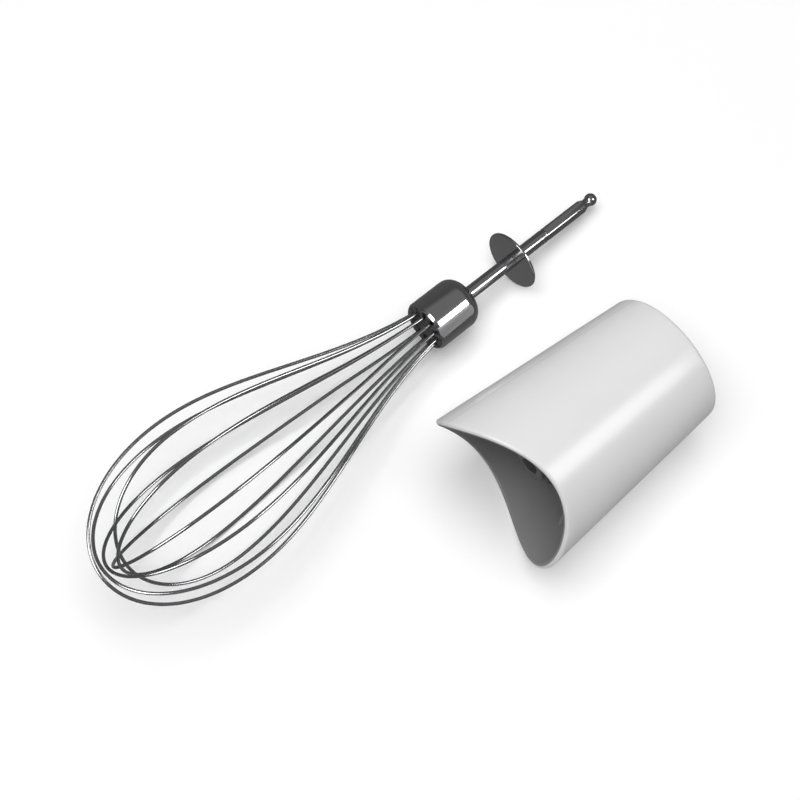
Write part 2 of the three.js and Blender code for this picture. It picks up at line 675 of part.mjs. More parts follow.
// The whisk lies along +x, ball end low; its local x runs across the table.
const whiskGroup = whisk();
const tilt = restingTilt();
whiskGroup.rotation.set(0, Math.PI / 2 + tilt, 0);
whiskGroup.rotateZ(Math.PI / 2);
whiskGroup.position.z =
  DISC_RADIUS * Math.cos(tilt) + (DISC_THICKNESS / 2) * Math.sin(tilt);

// The adapter lies beside it on its tapered side, mouth towards the whisk's wires.
const adapterGroup = adapter();
const slant = Math.atan(shellSlope);
adapterGroup.rotation.set(0, -Math.PI / 2 + slant, 0);
adapterGroup.rotateZ(Math.PI / 2 - radians(SHELL_ROLL));
const turned = new THREE.Group();
turned.add(adapterGroup);
turned.rotation.z = -radians(ADAPTER_TURN);
turned.position.set(ADAPTER_AHEAD, -ADAPTER_ASIDE, noseRadius * Math.cos(slant));

const assembly = new THREE.Group();
assembly.add(whiskGroup, turned);

// The origin is under the middle of the whole layout, on the table.
const extent = new THREE.Box3().setFromObject(assembly, true);
const middle = extent.getCenter(new THREE.Vector3());
assembly.position.set(-middle.x, -middle.y, -extent.min.z);

export default assembly;
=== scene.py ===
"""Finished surfaces of an immersion blender's whisk attachment: the drive adapter and its wire whisk.

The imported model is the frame. Every piece here is drawn in the adapter's or the whisk's own
frame, with z along its axis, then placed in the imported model's frame. Lengths are in metres.
"""

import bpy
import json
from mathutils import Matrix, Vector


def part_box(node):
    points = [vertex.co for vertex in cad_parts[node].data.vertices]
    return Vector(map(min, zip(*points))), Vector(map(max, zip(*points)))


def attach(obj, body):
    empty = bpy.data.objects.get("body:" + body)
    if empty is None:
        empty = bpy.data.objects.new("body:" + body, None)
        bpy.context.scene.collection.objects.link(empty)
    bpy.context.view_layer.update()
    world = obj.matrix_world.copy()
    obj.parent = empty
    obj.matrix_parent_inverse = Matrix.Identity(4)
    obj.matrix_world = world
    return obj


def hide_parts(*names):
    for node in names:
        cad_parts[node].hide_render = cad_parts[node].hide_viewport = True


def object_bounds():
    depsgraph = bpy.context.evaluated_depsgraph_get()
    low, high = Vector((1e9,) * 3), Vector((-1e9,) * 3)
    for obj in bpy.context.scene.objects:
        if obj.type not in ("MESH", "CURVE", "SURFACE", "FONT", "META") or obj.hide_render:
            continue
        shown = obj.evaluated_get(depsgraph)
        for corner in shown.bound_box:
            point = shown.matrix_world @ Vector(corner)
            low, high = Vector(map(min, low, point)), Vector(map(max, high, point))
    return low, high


bl_info = {
    "name": "Whisk attachment",
    "version": (1, 0, 0),
    "blender": (4, 5, 0),
    "location": "View3D > Sidebar > Whisk",
    "description": "Builds the finished surfaces of a hand blender's whisk attachment",
    "category": "Add Mesh",
}

import json
import math

import bmesh
import bpy
from bpy.props import FloatProperty, FloatVectorProperty, IntProperty, PointerProperty
from mathutils import Matrix, Vector

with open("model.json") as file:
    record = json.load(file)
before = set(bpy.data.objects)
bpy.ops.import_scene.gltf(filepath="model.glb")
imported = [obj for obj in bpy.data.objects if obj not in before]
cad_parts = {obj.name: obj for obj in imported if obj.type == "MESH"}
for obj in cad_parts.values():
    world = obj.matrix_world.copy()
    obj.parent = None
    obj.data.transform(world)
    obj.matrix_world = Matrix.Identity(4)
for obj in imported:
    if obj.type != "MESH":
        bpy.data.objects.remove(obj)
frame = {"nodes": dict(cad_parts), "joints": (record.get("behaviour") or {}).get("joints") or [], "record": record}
CAD_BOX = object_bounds()

MM = 0.001
TINY = 1e-7
FINE = 240  # sides of the shell
MEDIUM = 128  # of the other large round pieces
SMALL = 64  # of the small ones
ROUND_STEP = math.radians(11)  # between the points of a rounded corner
PAST = 1 * MM  # a cutting tool runs this far past the face it cuts
ROOTED = 2 / 3  # share of the shell's wall that a catch or a post leaves outside its root
CREASE = 32  # degrees between two faces whose edge stays sharp


# ---------- Property kinds ----------
def length(name, description, millimetres):
    return FloatProperty(
        name=name, description=description, default=millimetres * MM, unit="LENGTH", precision=5
    )


def angle(name, description, degrees):
    return FloatProperty(
        name=name, description=description, default=math.radians(degrees), unit="ROTATION"
    )


def share(name, description, value):
    return FloatProperty(name=name, description=description, default=value, min=0, max=1)


def count(name, description, value):
    return IntProperty(name=name, description=description, default=value, min=1)


def colour(name, description, value):
    return FloatVectorProperty(
        name=name, description=description, default=value, subtype="COLOR", size=3, min=0, max=1
    )


def power(name, description, watts):
    return FloatProperty(name=name, description=description, default=watts, min=0, unit="POWER")


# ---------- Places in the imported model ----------
def joint(name):
    return next(item for item in frame["joints"] if item["name"] == name)


def mount(name):
    return next(item for item in frame["record"]["mounts"] if item["name"] == name)


def place(origin, axis, toward):
    """The matrix of a piece's own frame: z along the axis, x towards a point beside it."""
    z = Vector(axis).normalized()
    x = Vector(toward) - Vector(origin)
    x = (x - x.dot(z) * z).normalized()
    turn = Matrix((x, z.cross(x), z)).transposed()
    return Matrix.Translation(origin) @ turn.to_4x4()


def numbered(name, total):
    """The nodes of a set of like pieces, counted from 1."""
    return [f"{name}_{number}" for number in range(1, total + 1)]


def middle(node):
    low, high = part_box(node)
    return (low + high) / 2


def heights(node, local):
    """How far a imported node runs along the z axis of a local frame, in millimetres."""
    inverse = local.inverted()
    along = [(inverse @ vertex.co).z for vertex in frame["nodes"][node].data.vertices]
    return min(along) / MM, max(along) / MM


ADAPTER = place(
    joint("output_spin")["pos_m"], joint("output_spin")["axis"], mount("nose_face")["pos_m"]
)
WHISK = place(middle("stop_disc"), mount("disc_face")["axis"], mount("disc_face")["pos_m"])
COVER_LOW, BOSS_TOP = heights("gearbox_cover", ADAPTER)
COUPLING_LOW, COUPLING_HIGH = heights("drive_coupling", ADAPTER)
CASE_START, CASE_TOP = heights("gearbox_case", ADAPTER)
SPINDLE_START, SPINDLE_TOP = heights("output_spindle", ADAPTER)
SEAL_START, SEAL_END = heights("lip_seal", ADAPTER)


# ---------- Sizes ----------
class ShellSizes(bpy.types.PropertyGroup):
    taper: angle("Taper", "Slope of the wall", 4.423)
    wall: length("Wall", "Thickness of the tube", 2.3)
    nose_radius: length("Nose radius", "Outer radius where the whisk goes in", 24.839)
    nose_wall: length("Nose wall", "Thickness of the closed end", 2.8)
    nose_round: length("Nose rounding", "Rounding of the closed end's edge", 1.8)
    nose_hole: length("Nose hole", "Radius of the hole round the gearbox's neck", 9.64)
    length: length("Length", "Nose to the mean height of the mouth's rim", 75.12)
    rim_wave: length("Rim wave", "Rise and fall of the rim, twice round", 6.64)
    rim_lean: length("Rim lean", "Rise and fall of the rim, once round", 2.6)
    rim_lean_turn: angle("Rim lean turn", "From the first lobe to the lean's high side", -69)
    rim_depth: length("Rim depth", "Depth of wall that follows the rim's wave", 23)
    rim_round: length("Rim rounding", "Rounding of the rim's edges", 0.9)
    seam_turn: angle("Seam turn", "From the first lobe to the mould seam", -9)
    seam_width: length("Seam width", "Of the mould seam", 0.35)
    catch_turn: angle("Catch turn", "From the first lobe to the first catch", -17)
    catch_base: length("Catch base", "Height of the catches' flat side", 58.02)
    catch_height: length("Catch height", "How far a catch stands in from the wall", 3)
    catch_length: length("Catch length", "Along the wall", 7)
    catch_width: length("Catch width", "Thickness of a catch", 1.4)


class GearboxSizes(bpy.types.PropertyGroup):
    case_radius: length("Case radius", "Outside of the case and its cover", 22.04)
    case_bore: length("Case bore", "Inside of the case", 20.04)
    case_bottom: length("Case bottom", "Nose to the case's floor, outside", 41)
    case_floor: length("Case floor", "Thickness of the case's floor", 2)
    neck_radius: length("Neck radius", "Outside of the case's neck", 9.52)
    neck_bore: length("Neck bore", "Inside of the case's neck", 8.32)
    cover_thickness: length("Cover thickness", "Thickness of the cover's plate", 2.2)
    boss_radius: length("Boss radius", "Outside of the boss round the input shaft", 4.8)
    boss_bore: length("Boss bore", "Seat of the input shaft's bush", 3.6)
    rib_width: length("Rib width", "Of the ribs on the cover", 1.0)
    rib_height: length("Rib height", "Of the ribs on the cover", 1.1)
    ribs: count("Ribs", "Ribs on the cover, boss to rim", 12)
    seat_gap: length("Seat gap", "Between pieces that are pressed or screwed together", 0.12)
    post_width: length("Post width", "Of the shell's blocks for the screws", 5.2)
    post_length: length("Post length", "Of the shell's blocks for the screws", 14)
    ears: count("Ears", "Screw ears round the case", 3)
    ear_turn: angle("Ear turn", "From the first lobe to the first ear", 60)
    ear_circle: length("Ear circle", "Radius of the screws' circle", 22.89)
    ear_radius: length("Ear radius", "Rounding of a screw ear", 2.6)
    screw_radius: length("Screw radius", "Of the threaded part", 1.15)
    head_radius: length("Screw head radius", "Of the pan head", 2.1)
    head_height: length("Screw head height", "Of the pan head", 1.5)
    recess_length: length("Recess length", "Of the cross in a screw's head", 2.5)
    recess_width: length("Recess width", "Of the cross in a screw's head", 0.55)
    recess_depth: length("Recess depth", "Of the cross in a screw's head", 0.9)
    spindle_radius: length("Spindle radius", "Outside of the output spindle", 5.52)
    stub_radius: length("Stub radius", "Seat in the spindle's end for the carrier's stub", 1.58)
    stub_depth: length("Stub depth", "Of the seat for the carrier's stub", 1.6)
    socket_floor: length("Socket floor", "Spindle's end to the floor of the shaft's hole", 2.9)
    socket_radius: length("Socket radius", "Hole for the whisk's shaft", 2.62)
    coupling_radius: length("Coupling radius", "Outside of the drive coupling", 6.5)
    coupling_bore: length("Coupling bore", "Seat on the input shaft", 1.62)
    hexagon: length("Hexagon", "Centre to corner of the driver's socket", 3.9)
    hexagon_depth: length("Hexagon depth", "Of the driver's socket", 4.8)
    grooves: count("Grooves", "Round the coupling's edge", 18)


class WhiskSizes(bpy.types.PropertyGroup):
    shaft_radius: length("Shaft radius", "Of the steel shaft", 2.5)
    shaft_reach: length("Shaft reach", "Disc to the shoulder", 35.6)
    shoulder: length("Shoulder", "Length of the taper to the neck", 2)
    neck_radius: length("Neck radius", "Behind the ball", 1.7)
    ball_radius: length("Ball radius", "Of the snap ball", 2.38)
    ball_reach: length("Ball reach", "Disc to the middle of the ball", 40.6)
    flat_start: length("Flat start", "Disc to the ring groove where the flats begin", 15.8)
    flat_depth: length("Flat depth", "Of the two driving flats", 0.35)
    notch_width: length("Notch width", "Of the ring groove", 0.9)
    notch_depth: length("Notch depth", "Of the ring groove", 0.3)
    disc_radius: length("Disc radius", "Of the stop disc", 11.6)
    disc_thickness: length("Disc thickness", "Of the stop disc", 1)
    collar_top: length("Collar top", "Disc to the closed end of the collar", 23.3)
    collar_length: length("Collar length", "Of the collar's cup", 19.9)
    collar_radius: length("Collar radius", "Outside of the collar", 9.6)
    collar_wall: length("Collar wall", "Thickness of the collar", 0.9)
    collar_round: length("Collar rounding", "Of the closed end's edge", 5.1)
    collar_lip: length("Collar lip", "Length of the rolled bevel at the open end", 1.0)
    shaft_seat: length("Shaft seat", "The shaft's end, up from the collar's open end", 1)
    gap: length("Gap", "Between pieces that fit in each other", 0.12)


class LoopSizes(bpy.types.PropertyGroup):
    loops: count("Loops", "Number of wires, each bent to a loop", 6)
    wire_radius: length("Wire radius", "Of the wires", 0.6)
    wire_sides: count("Wire sides", "Faces round a wire", 14)
    wire_points: count("Wire points", "Rings of faces along a wire", 260)
    slot_gap: length("Slot gap", "Between a wire and the slot that holds it", 0.15)
    slot_room: length("Slot room", "Under a wire in its slot", 0.4)
    first_turn: angle("First turn", "Of the longest loop, from the horizontal", 19.3)
    circle: length("Wire circle", "Radius of the circle where the wires leave the hub", 6.47)
    lean: angle("Wire lean", "Outwards, where the wires leave the hub", 6.3)
    grip: length("Wire grip", "Length of wire held in the hub", 11)
    length: length("Loop length", "Hub face to the tip of the longest loop", 143.22)
    length_step: length("Length step", "Each next loop is this much shorter", 1.77)
    belly: length("Belly", "Half the width of the longest loop", 29.38)
    belly_step: length("Belly step", "Each next loop is this much narrower, each side", 0.37)
    belly_reach: length("Belly reach", "Hub face to the widest place", 98.4)
    hub_handle: length("Hub handle", "Length of the curve's handle at the hub", 37.6)
    belly_handle: length("Belly handle", "Length of the curve's handle before the belly", 31.4)
    belly_front: share("Belly front", "Handle after the belly, as a share of the way to the tip", 0.618)
    tip_flatness: share("Tip flatness", "Handle at the tip, as a share of the belly", 0.528)
    stray: count("Stray loop", "The loop that has sprung round a little", 4)
    stray_turn: angle("Stray turn", "How far it has sprung round", 6.8)


class FinishColours(bpy.types.PropertyGroup):
    shell: colour("Shell", "White gloss plastic", (0.78, 0.78, 0.785))
    polished: colour("Polished steel", "Collar and disc", (0.56, 0.56, 0.57))
    ground: colour("Ground steel", "Shaft, spindle and pins", (0.54, 0.54, 0.55))
    wire: colour("Wire steel", "Whisk wires", (0.56, 0.56, 0.57))
    hub: colour("Hub", "Dark plastic between the wires", (0.060, 0.060, 0.063))
    gearbox: colour("Gearbox", "Dark grey plastic of the gearbox and coupling", (0.13, 0.13, 0.133))
    nylon: colour("Nylon", "Ring gear and planet gears", (0.72, 0.68, 0.58))
    bronze: colour("Bronze", "Sintered bushes", (0.50, 0.31, 0.14))
    rubber: colour("Rubber", "Lip seal", (0.018, 0.018, 0.019))
    floor: colour("Floor", "Pale studio floor", (0.93, 0.93, 0.93))


class StageSettings(bpy.types.PropertyGroup):
    camera: FloatVectorProperty(
        name="Camera", description="Place of the camera", size=3, unit="LENGTH", subtype="TRANSLATION",
        default=(-0.13267, -0.13361, 0.57541), precision=5,
    )
    tip: angle("Tip", "Camera's tilt from straight down", 20.1)
    heading: angle("Heading", "Camera's turn about the vertical", -41.94)
    lens: FloatProperty(
        name="Lens", description="Focal length on a 36 mm sensor", default=76.6, unit="CAMERA"
    )
    key: power("Key light", "Softbox that the steel mirrors", 4)
    fill: power("Fill light", "Softbox on the side of the whisk's tip", 8)
    top: power("Top light", "Broad light overhead", 25)
    floor_glow: share("Floor glow", "Light added by the floor itself", 0.08)


# ---------- Node trees ----------
class Value:
    """A node's output. Sums, differences, products and quotients of values add the Math nodes for them."""

    def __init__(self, graph, socket):
        self.graph = graph
        self.socket = socket

    def out(self, name):
        return Value(self.graph, self.socket.node.outputs[name])

    def math(self, operation, first, second=0.0):
        return self.graph.node("ShaderNodeMath", {"operation": operation}, {0: first, 1: second})

    def __add__(self, other):
        return self.math("ADD", self, other)

    def __radd__(self, other):
        return self.math("ADD", other, self)

    def __sub__(self, other):
        return self.math("SUBTRACT", self, other)

    def __rsub__(self, other):
        return self.math("SUBTRACT", other, self)

    def __mul__(self, other):
        return self.math("MULTIPLY", self, other)

    def __rmul__(self, other):
        return self.math("MULTIPLY", other, self)

    def __truediv__(self, other):
        return self.math("DIVIDE", self, other)

    def __gt__(self, other):
        return self.math("GREATER_THAN", self, other)

    def __abs__(self):
        return self.math("ABSOLUTE", self)

    def sign(self):
        return self.math("SIGN", self)

    def hypot(self, other):
        return self.math("SQRT", self * self + other * other)


class Graph:
    """A node tree that grows one node at a time."""

    def __init__(self, tree):
        self.tree = tree

    def node(self, kind, settings=None, inputs=None):
        """Adds a node: its settings first, then the values or links of its sockets."""
        made = self.tree.nodes.new(kind)
        for name, value in (settings or {}).items():
            if name == "stops":
                self.set_stops(made.color_ramp, value)
            else:
                setattr(made, name, value)
        for name, value in (inputs or {}).items():
            socket = made.inputs[name]
            if isinstance(value, Value):
                self.tree.links.new(value.socket, socket)
            else:
                socket.default_value = value
        shown = [socket for socket in made.outputs if socket.enabled]
        return Value(self, shown[0]) if shown else None

    @staticmethod
    def set_stops(ramp, stops):
        while len(ramp.elements) < len(stops):
            ramp.elements.new(1)
        for element, (position, grey) in zip(ramp.elements, stops):
            element.position = position
            element.color = (grey, grey, grey, 1)


class Surface(Graph):
    """A material whose patterns are laid out in a piece's own frame."""

    def __init__(self, name, local):
        self.material = bpy.data.materials.new(name)
        self.material.use_nodes = True
        super().__init__(self.material.node_tree)
        self.tree.nodes.clear()
        spot = self.node("ShaderNodeTexCoord").out("Object")
        inverse = local.inverted()
        self.spot = self.node(
            "ShaderNodeMapping",
            {},
            {"Vector": spot, "Location": inverse.to_translation(), "Rotation": inverse.to_euler()},
        )

    def noise(self, scale, detail=2.0, stretch=(1, 1, 1)):
        where = self.node(
            "ShaderNodeVectorMath", {"operation": "MULTIPLY"}, {0: self.spot, 1: stretch}
        )
        return self.node(
            "ShaderNodeTexNoise", {}, {"Vector": where, "Scale": scale, "Detail": detail}
        )

    def lines(self, value, pitch):
        """Fine random lines across the direction in which a value grows, about one in each pitch."""
        return self.node(
            "ShaderNodeTexNoise",
            {"noise_dimensions": "1D"},
            {"W": value * (1 / pitch), "Scale": 1.0, "Detail": 3.0},
        )

    def parts(self):
        """Distances across and along the piece: x, y, z and the distance from its axis."""
        split = self.node("ShaderNodeSeparateXYZ", {}, {0: self.spot})
        x, y, z = split.out("X"), split.out("Y"), split.out("Z")
        return x, y, z, x.hypot(y)

    def ramp(self, value, *stops):
        return self.node("ShaderNodeValToRGB", {"stops": stops}, {"Fac": value})

    def mix(self, factor, first, second):
        """Two colours, each with its alpha or from a link; a factor above 1 gives the second."""
        return self.node("ShaderNodeMix", {"data_type": "RGBA"}, {0: factor, 6: first, 7: second})

    def blend(self, factor, first, second):
        """Two plain colours."""
        return self.mix(factor, (*first, 1), (*second, 1))

    def bump(self, height, strength, depth):
        return self.node(
            "ShaderNodeBump", {}, {"Height": height, "Strength": strength, "Distance": depth}
        )

    def finish(self, **sockets):
        """Ends the material: Base_Color and the like are the shader's sockets."""
        inputs = {name.replace("_", " "): value for name, value in sockets.items()}
        shader = self.node("ShaderNodeBsdfPrincipled", {}, inputs)
        self.node("ShaderNodeOutputMaterial", {}, {"Surface": shader})
        return self.material


def darker(shade, factor):
    return tuple(channel * factor for channel in shade)


# ---------- Materials ----------
def gloss_white():
    """Moulded white plastic: gloss with faint ripple and rubs, a seam along each side with a painted shade line,
    rougher inside and darkened there with painted shade.
    """
    shade, sizes = colours().shell, bpy.context.scene.whisk_shell
    surface = Surface("gloss white plastic", ADAPTER)
    x, y, z, reach = surface.parts()
    # inside marks the inner wall: it raises the roughness there, and in the colour below it paints shade over the
    # whole inside
    inside = (sizes.nose_radius - sizes.wall * 0.6) + math.tan(sizes.taper) * z > reach
    across = y * math.cos(sizes.seam_turn) - x * math.sin(sizes.seam_turn)
    # seam is a fine groove in the bump, and in the colour below it also paints a thin line of shade along the
    # groove
    seam = surface.ramp(abs(across) * (1 / sizes.seam_width), (0.35, 1), (1.0, 0))
    clouds = surface.noise(38)
    rubs = surface.ramp(surface.noise(60, 5, (14, 14, 1.2)), (0.58, 0), (0.74, 1))
    ripple = surface.noise(650, 2)
    return surface.finish(
        Base_Color=surface.mix(
            inside + 0.25 * seam,
            surface.blend(clouds, darker(shade, 0.975), shade),
            # painted shade: the dark white that the inside and the seam line are mixed towards
            (*darker(shade, 0.32), 1),
        ),
        Roughness=0.27 + 0.05 * surface.noise(240, 3) + 0.06 * rubs + 0.25 * inside,
        Normal=surface.bump(ripple + 4 * seam, 0.05, 0.0004),
        Coat_Weight=0.25,
        Coat_Roughness=0.2,
    )


def steel(name, shade, local, roughness, lines):
    """Metal with fine tool lines and slight smears from handling; lines names the way they run."""
    surface = Surface(name, local)
    x, y, z, reach = surface.parts()
    across = {"round": z + reach, "long": surface.noise(900, 1, (1, 1, 0.03))}[lines]
    marks = surface.lines(across, 0.00011 if lines == "round" else 0.05)
    smears = surface.noise(85, 3)
    return surface.finish(
        Base_Color=surface.blend(smears, darker(shade, 0.93), shade),
        Metallic=1.0,
        Roughness=roughness + 0.05 * smears + 0.03 * marks,
        Normal=surface.bump(marks, 0.01, 0.00005),
    )


def drawn_wire():
    """Electropolished wire with drawing lines along it."""
    shade = colours().wire
    surface = Surface("polished whisk wire", WHISK)
    along = surface.node("ShaderNodeAttribute", {"attribute_name": "along"}).out("Fac")
    bands = surface.lines(along, 0.012)
    grain = surface.noise(2600, 2, (1, 1, 0.05))
    return surface.finish(
        Base_Color=surface.blend(bands, darker(shade, 0.92), shade),
        Metallic=1.0,
        Roughness=0.1 + 0.04 * bands + 0.03 * grain,
        Normal=surface.bump(grain, 0.01, 0.00004),
    )


def moulded(name, shade, local, roughness, grain):
    """Moulded plastic with a fine spark-eroded grain, of a size in metres."""
    surface = Surface(name, local)
    pits = surface.noise(1 / grain, 3)
    clouds = surface.noise(120, 2)
    return surface.finish(
        Base_Color=surface.blend(clouds, darker(shade, 0.88), shade),
        Roughness=roughness + 0.12 * pits,
        Normal=surface.bump(pits, 0.18, 0.0001),
    )


def sintered_bronze():
    """Porous bearing bronze."""
    shade = colours().bronze
    surface = Surface("sintered bronze", ADAPTER)
    pores = surface.ramp(surface.noise(2600, 4), (0.36, 0), (0.52, 1))
    return surface.finish(
        Base_Color=surface.blend(pores, darker(shade, 0.35), shade),
        Metallic=1.0,
        Roughness=0.55 - 0.2 * pores,
        Normal=surface.bump(pores, 0.3, 0.00008),
    )


def floor_finish():
    """Plain pale paper, lit a little from below."""
    shade = colours().floor
    surface = Surface("pale floor", Matrix())
    fibres = surface.noise(900, 4)
    return surface.finish(
        Base_Color=surface.blend(fibres, darker(shade, 0.985), shade),
        Roughness=0.9,
        Specular_IOR_Level=0.0,
        Emission_Color=(1, 1, 1, 1),
        Emission_Strength=stage_settings().floor_glow,
    )


FINISHES = {
    "shell_white": gloss_white,
    "polished_steel": lambda: steel("polished steel", colours().polished, WHISK, 0.07, "round"),
    "shaft_steel": lambda: steel("ground steel", colours().ground, WHISK, 0.09, "round"),
    "gear_steel": lambda: steel("ground gear steel", colours().ground, ADAPTER, 0.22, "round"),
    "spring_steel": lambda: steel("spring steel", darker(colours().ground, 0.7), ADAPTER, 0.2, "long"),
    "screw_steel": lambda: steel("screw steel", colours().polished, ADAPTER, 0.16, "round"),
    "wire_steel": drawn_wire,
    "hub_plastic": lambda: moulded("hub plastic", colours().hub, WHISK, 0.38, 0.0005),
    "grey_plastic": lambda: moulded("gearbox plastic", colours().gearbox, ADAPTER, 0.42, 0.0006),
    "natural_nylon": lambda: moulded("natural nylon", colours().nylon, ADAPTER, 0.4, 0.0008),
    "bush_bronze": sintered_bronze,
    "seal_rubber": lambda: moulded("seal rubber", colours().rubber, ADAPTER, 0.55, 0.0004),
}
made_finishes = {}


def finish(name):
    if name not in made_finishes:
        made_finishes[name] = FINISHES[name]()
    return made_finishes[name]


# ---------- Mesh helpers ----------
def show(name, mesh):
    piece = bpy.data.objects.new(name, mesh)
    bpy.context.scene.collection.objects.link(piece)
    return piece


def outline(*corners):
    """A closed outline from (radius, height, rounding) corners, each rounding drawn as an arc."""
    points = []
    for index, (radius, height, rounding) in enumerate(corners):
        here = Vector((radius, height))
        if not rounding:
            points.append(here)
            continue
        before = (Vector(corners[index - 1][:2]) - here).normalized()
        after = (Vector(corners[(index + 1) % len(corners)][:2]) - here).normalized()
        half = before.angle(after) / 2
        centre = here + (before + after).normalized() * rounding / math.sin(half)
        spoke = here + before * rounding / math.tan(half) - centre
        sweep = math.copysign(math.pi - 2 * half, after.cross(before))
        steps = max(2, math.ceil(abs(sweep) / ROUND_STEP))
        for step in range(steps + 1):
            turned = Matrix.Rotation(sweep * step / steps, 2) @ spoke
            points.append(centre + turned)
    return points


def arc(radius, height, size, start, end, steps):
    """Points on part of a circle, as outline corners; the angles are in degrees."""
    turns = [math.radians(start + (end - start) * step / steps) for step in range(steps + 1)]
    return [(radius + size * math.cos(t), height + size * math.sin(t), 0) for t in turns]


def lathe(name, points, sides):
    """A closed outline of (radius, height) points turned about the z axis."""
    vertices, rows = [], []
    for radius, height in points:
        if radius < TINY:
            rows.append([len(vertices)] * sides)
            vertices.append((0, 0, height))
            continue
        rows.append(range(len(vertices), len(vertices) + sides))
        for side in range(sides):
            turn = 2 * math.pi * side / sides
            vertices.append((radius * math.cos(turn), radius * math.sin(turn), height))
    faces = []
    for row, following in zip(rows, rows[1:] + rows[:1]):
        for side in range(sides):
            beside = (side + 1) % sides
            corners = [row[side], row[beside], following[beside], following[side]]
            corners = list(dict.fromkeys(corners))
            if len(corners) > 2:
                faces.append(corners)
    mesh = bpy.data.meshes.new(name)
    mesh.from_pydata(vertices, [], faces)
    return show(name, outward(mesh))


def prism(name, corners, low, high):
    """An outline in the x-y plane, drawn up from one height to another."""
    total = len(corners)
    vertices = [(x, y, low) for x, y in corners] + [(x, y, high) for x, y in corners]
    sides = [(i, (i + 1) % total, (i + 1) % total + total, i + total) for i in range(total)]
    caps = [tuple(reversed(range(total))), tuple(range(total, 2 * total))]
    mesh = bpy.data.meshes.new(name)
    mesh.from_pydata(vertices, [], sides + caps)
    return show(name, outward(mesh))


def cylinder(name, radius, low, high, sides):
    return lathe(name, outline((0, low, 0), (radius, low, 0), (radius, high, 0), (0, high, 0)), sides)


def box(name, width, depth, low, high):
    half, deep = width / 2, depth / 2
    return prism(name, [(-half, -deep), (half, -deep), (half, deep), (-half, deep)], low, high)


def outward(mesh):
    build = bmesh.new()
    build.from_mesh(mesh)
    bmesh.ops.recalc_face_normals(build, faces=build.faces)
    build.to_mesh(mesh)
    build.free()
    return mesh


def moved(piece, *steps):
    """The piece with turns and shifts baked in, the first step first."""
    for step in steps:
        piece.data.transform(step)
    return piece


def shift(x=0.0, y=0.0, z=0.0):
    return Matrix.Translation((x, y, z))


def spin(turn, axis="Z"):
    return Matrix.Rotation(turn, 4, axis)


def applied(piece):
    """The piece as its modifiers leave it, as a plain mesh with none."""
    bpy.context.view_layer.update()
    name = piece.name
    mesh = bpy.data.meshes.new_from_object(
        piece.evaluated_get(bpy.context.evaluated_depsgraph_get())
    )
    bpy.data.objects.remove(piece)
    mesh.name = name
    return show(name, mesh)


def combined(body, operation, *tools):
    """The body with each tool joined to it or cut from it; the tools are used up."""
    for tool in tools:
        modifier = body.modifiers.new(operation.lower(), "BOOLEAN")
        modifier.solver = "MANIFOLD"
        modifier.operation = operation
        modifier.object = tool
    body = applied(body)
    for tool in tools:
        bpy.data.objects.remove(tool)
    return body


def bevelled(piece, width, segments=3):
    modifier = piece.modifiers.new("bevel", "BEVEL")
    modifier.width = width
    modifier.segments = segments
    modifier.limit_method = "ANGLE"
    return applied(piece)


def finished(piece, local, body, finish_name, nodes, crease=CREASE):
    """Puts a piece in its place, gives it its material, hides the nodes that it stands for and hangs it on its
    body.
    """
    piece.data.transform(local)
    piece.data.materials.clear()
    piece.data.materials.append(finish(finish_name))
    piece.data.shade_smooth()
    piece.data.set_sharp_from_angle(angle=math.radians(crease))
    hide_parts(*nodes)
    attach(piece, body)
    return piece


# ---------- Geometry node trees ----------
SOCKET_KINDS = {int: "NodeSocketInt", float: "NodeSocketFloat", bpy.types.Material: "NodeSocketMaterial"}


def new_tree(name, inputs):
    """A geometry node tree with a geometry input, and a named input of the right kind for each value."""
    tree = bpy.data.node_groups.new(name, "GeometryNodeTree")
    tree.interface.new_socket("Geometry", in_out="INPUT", socket_type="NodeSocketGeometry")
    for socket, value in inputs.items():
        tree.interface.new_socket(socket, in_out="INPUT", socket_type=SOCKET_KINDS[type(value)])
    tree.interface.new_socket("Geometry", in_out="OUTPUT", socket_type="NodeSocketGeometry")
    return Graph(tree)


def closing(graph, geometry, material):
    """Ends a tree: instances made real, and the material set."""
    real = graph.node("GeometryNodeRealizeInstances", {}, {"Geometry": geometry})
    dressed = graph.node("GeometryNodeSetMaterial", {}, {"Geometry": real, "Material": material})
    graph.node("NodeGroupOutput", {}, {"Geometry": dressed})
    return graph.tree


def ring_tree(inputs):
    """Copies of the object's own mesh, turned about the z axis."""
    graph = new_tree("ring of copies", inputs)
    given = graph.node("NodeGroupInput")
    points = graph.node("GeometryNodePoints", {}, {"Count": given.out("Copies")})
    index = graph.node("GeometryNodeInputIndex")
    turn = given.out("First turn") + index * given.out("Turn step")
    euler = graph.node("ShaderNodeCombineXYZ", {}, {"Z": turn})
    rotation = graph.node("FunctionNodeEulerToRotation", {}, {"Euler": euler})
    copies = graph.node(
        "GeometryNodeInstanceOnPoints",
        {},
        {"Points": points, "Instance": given.out("Geometry"), "Rotation": rotation},
    )
    return closing(graph, copies, given.out("Material"))


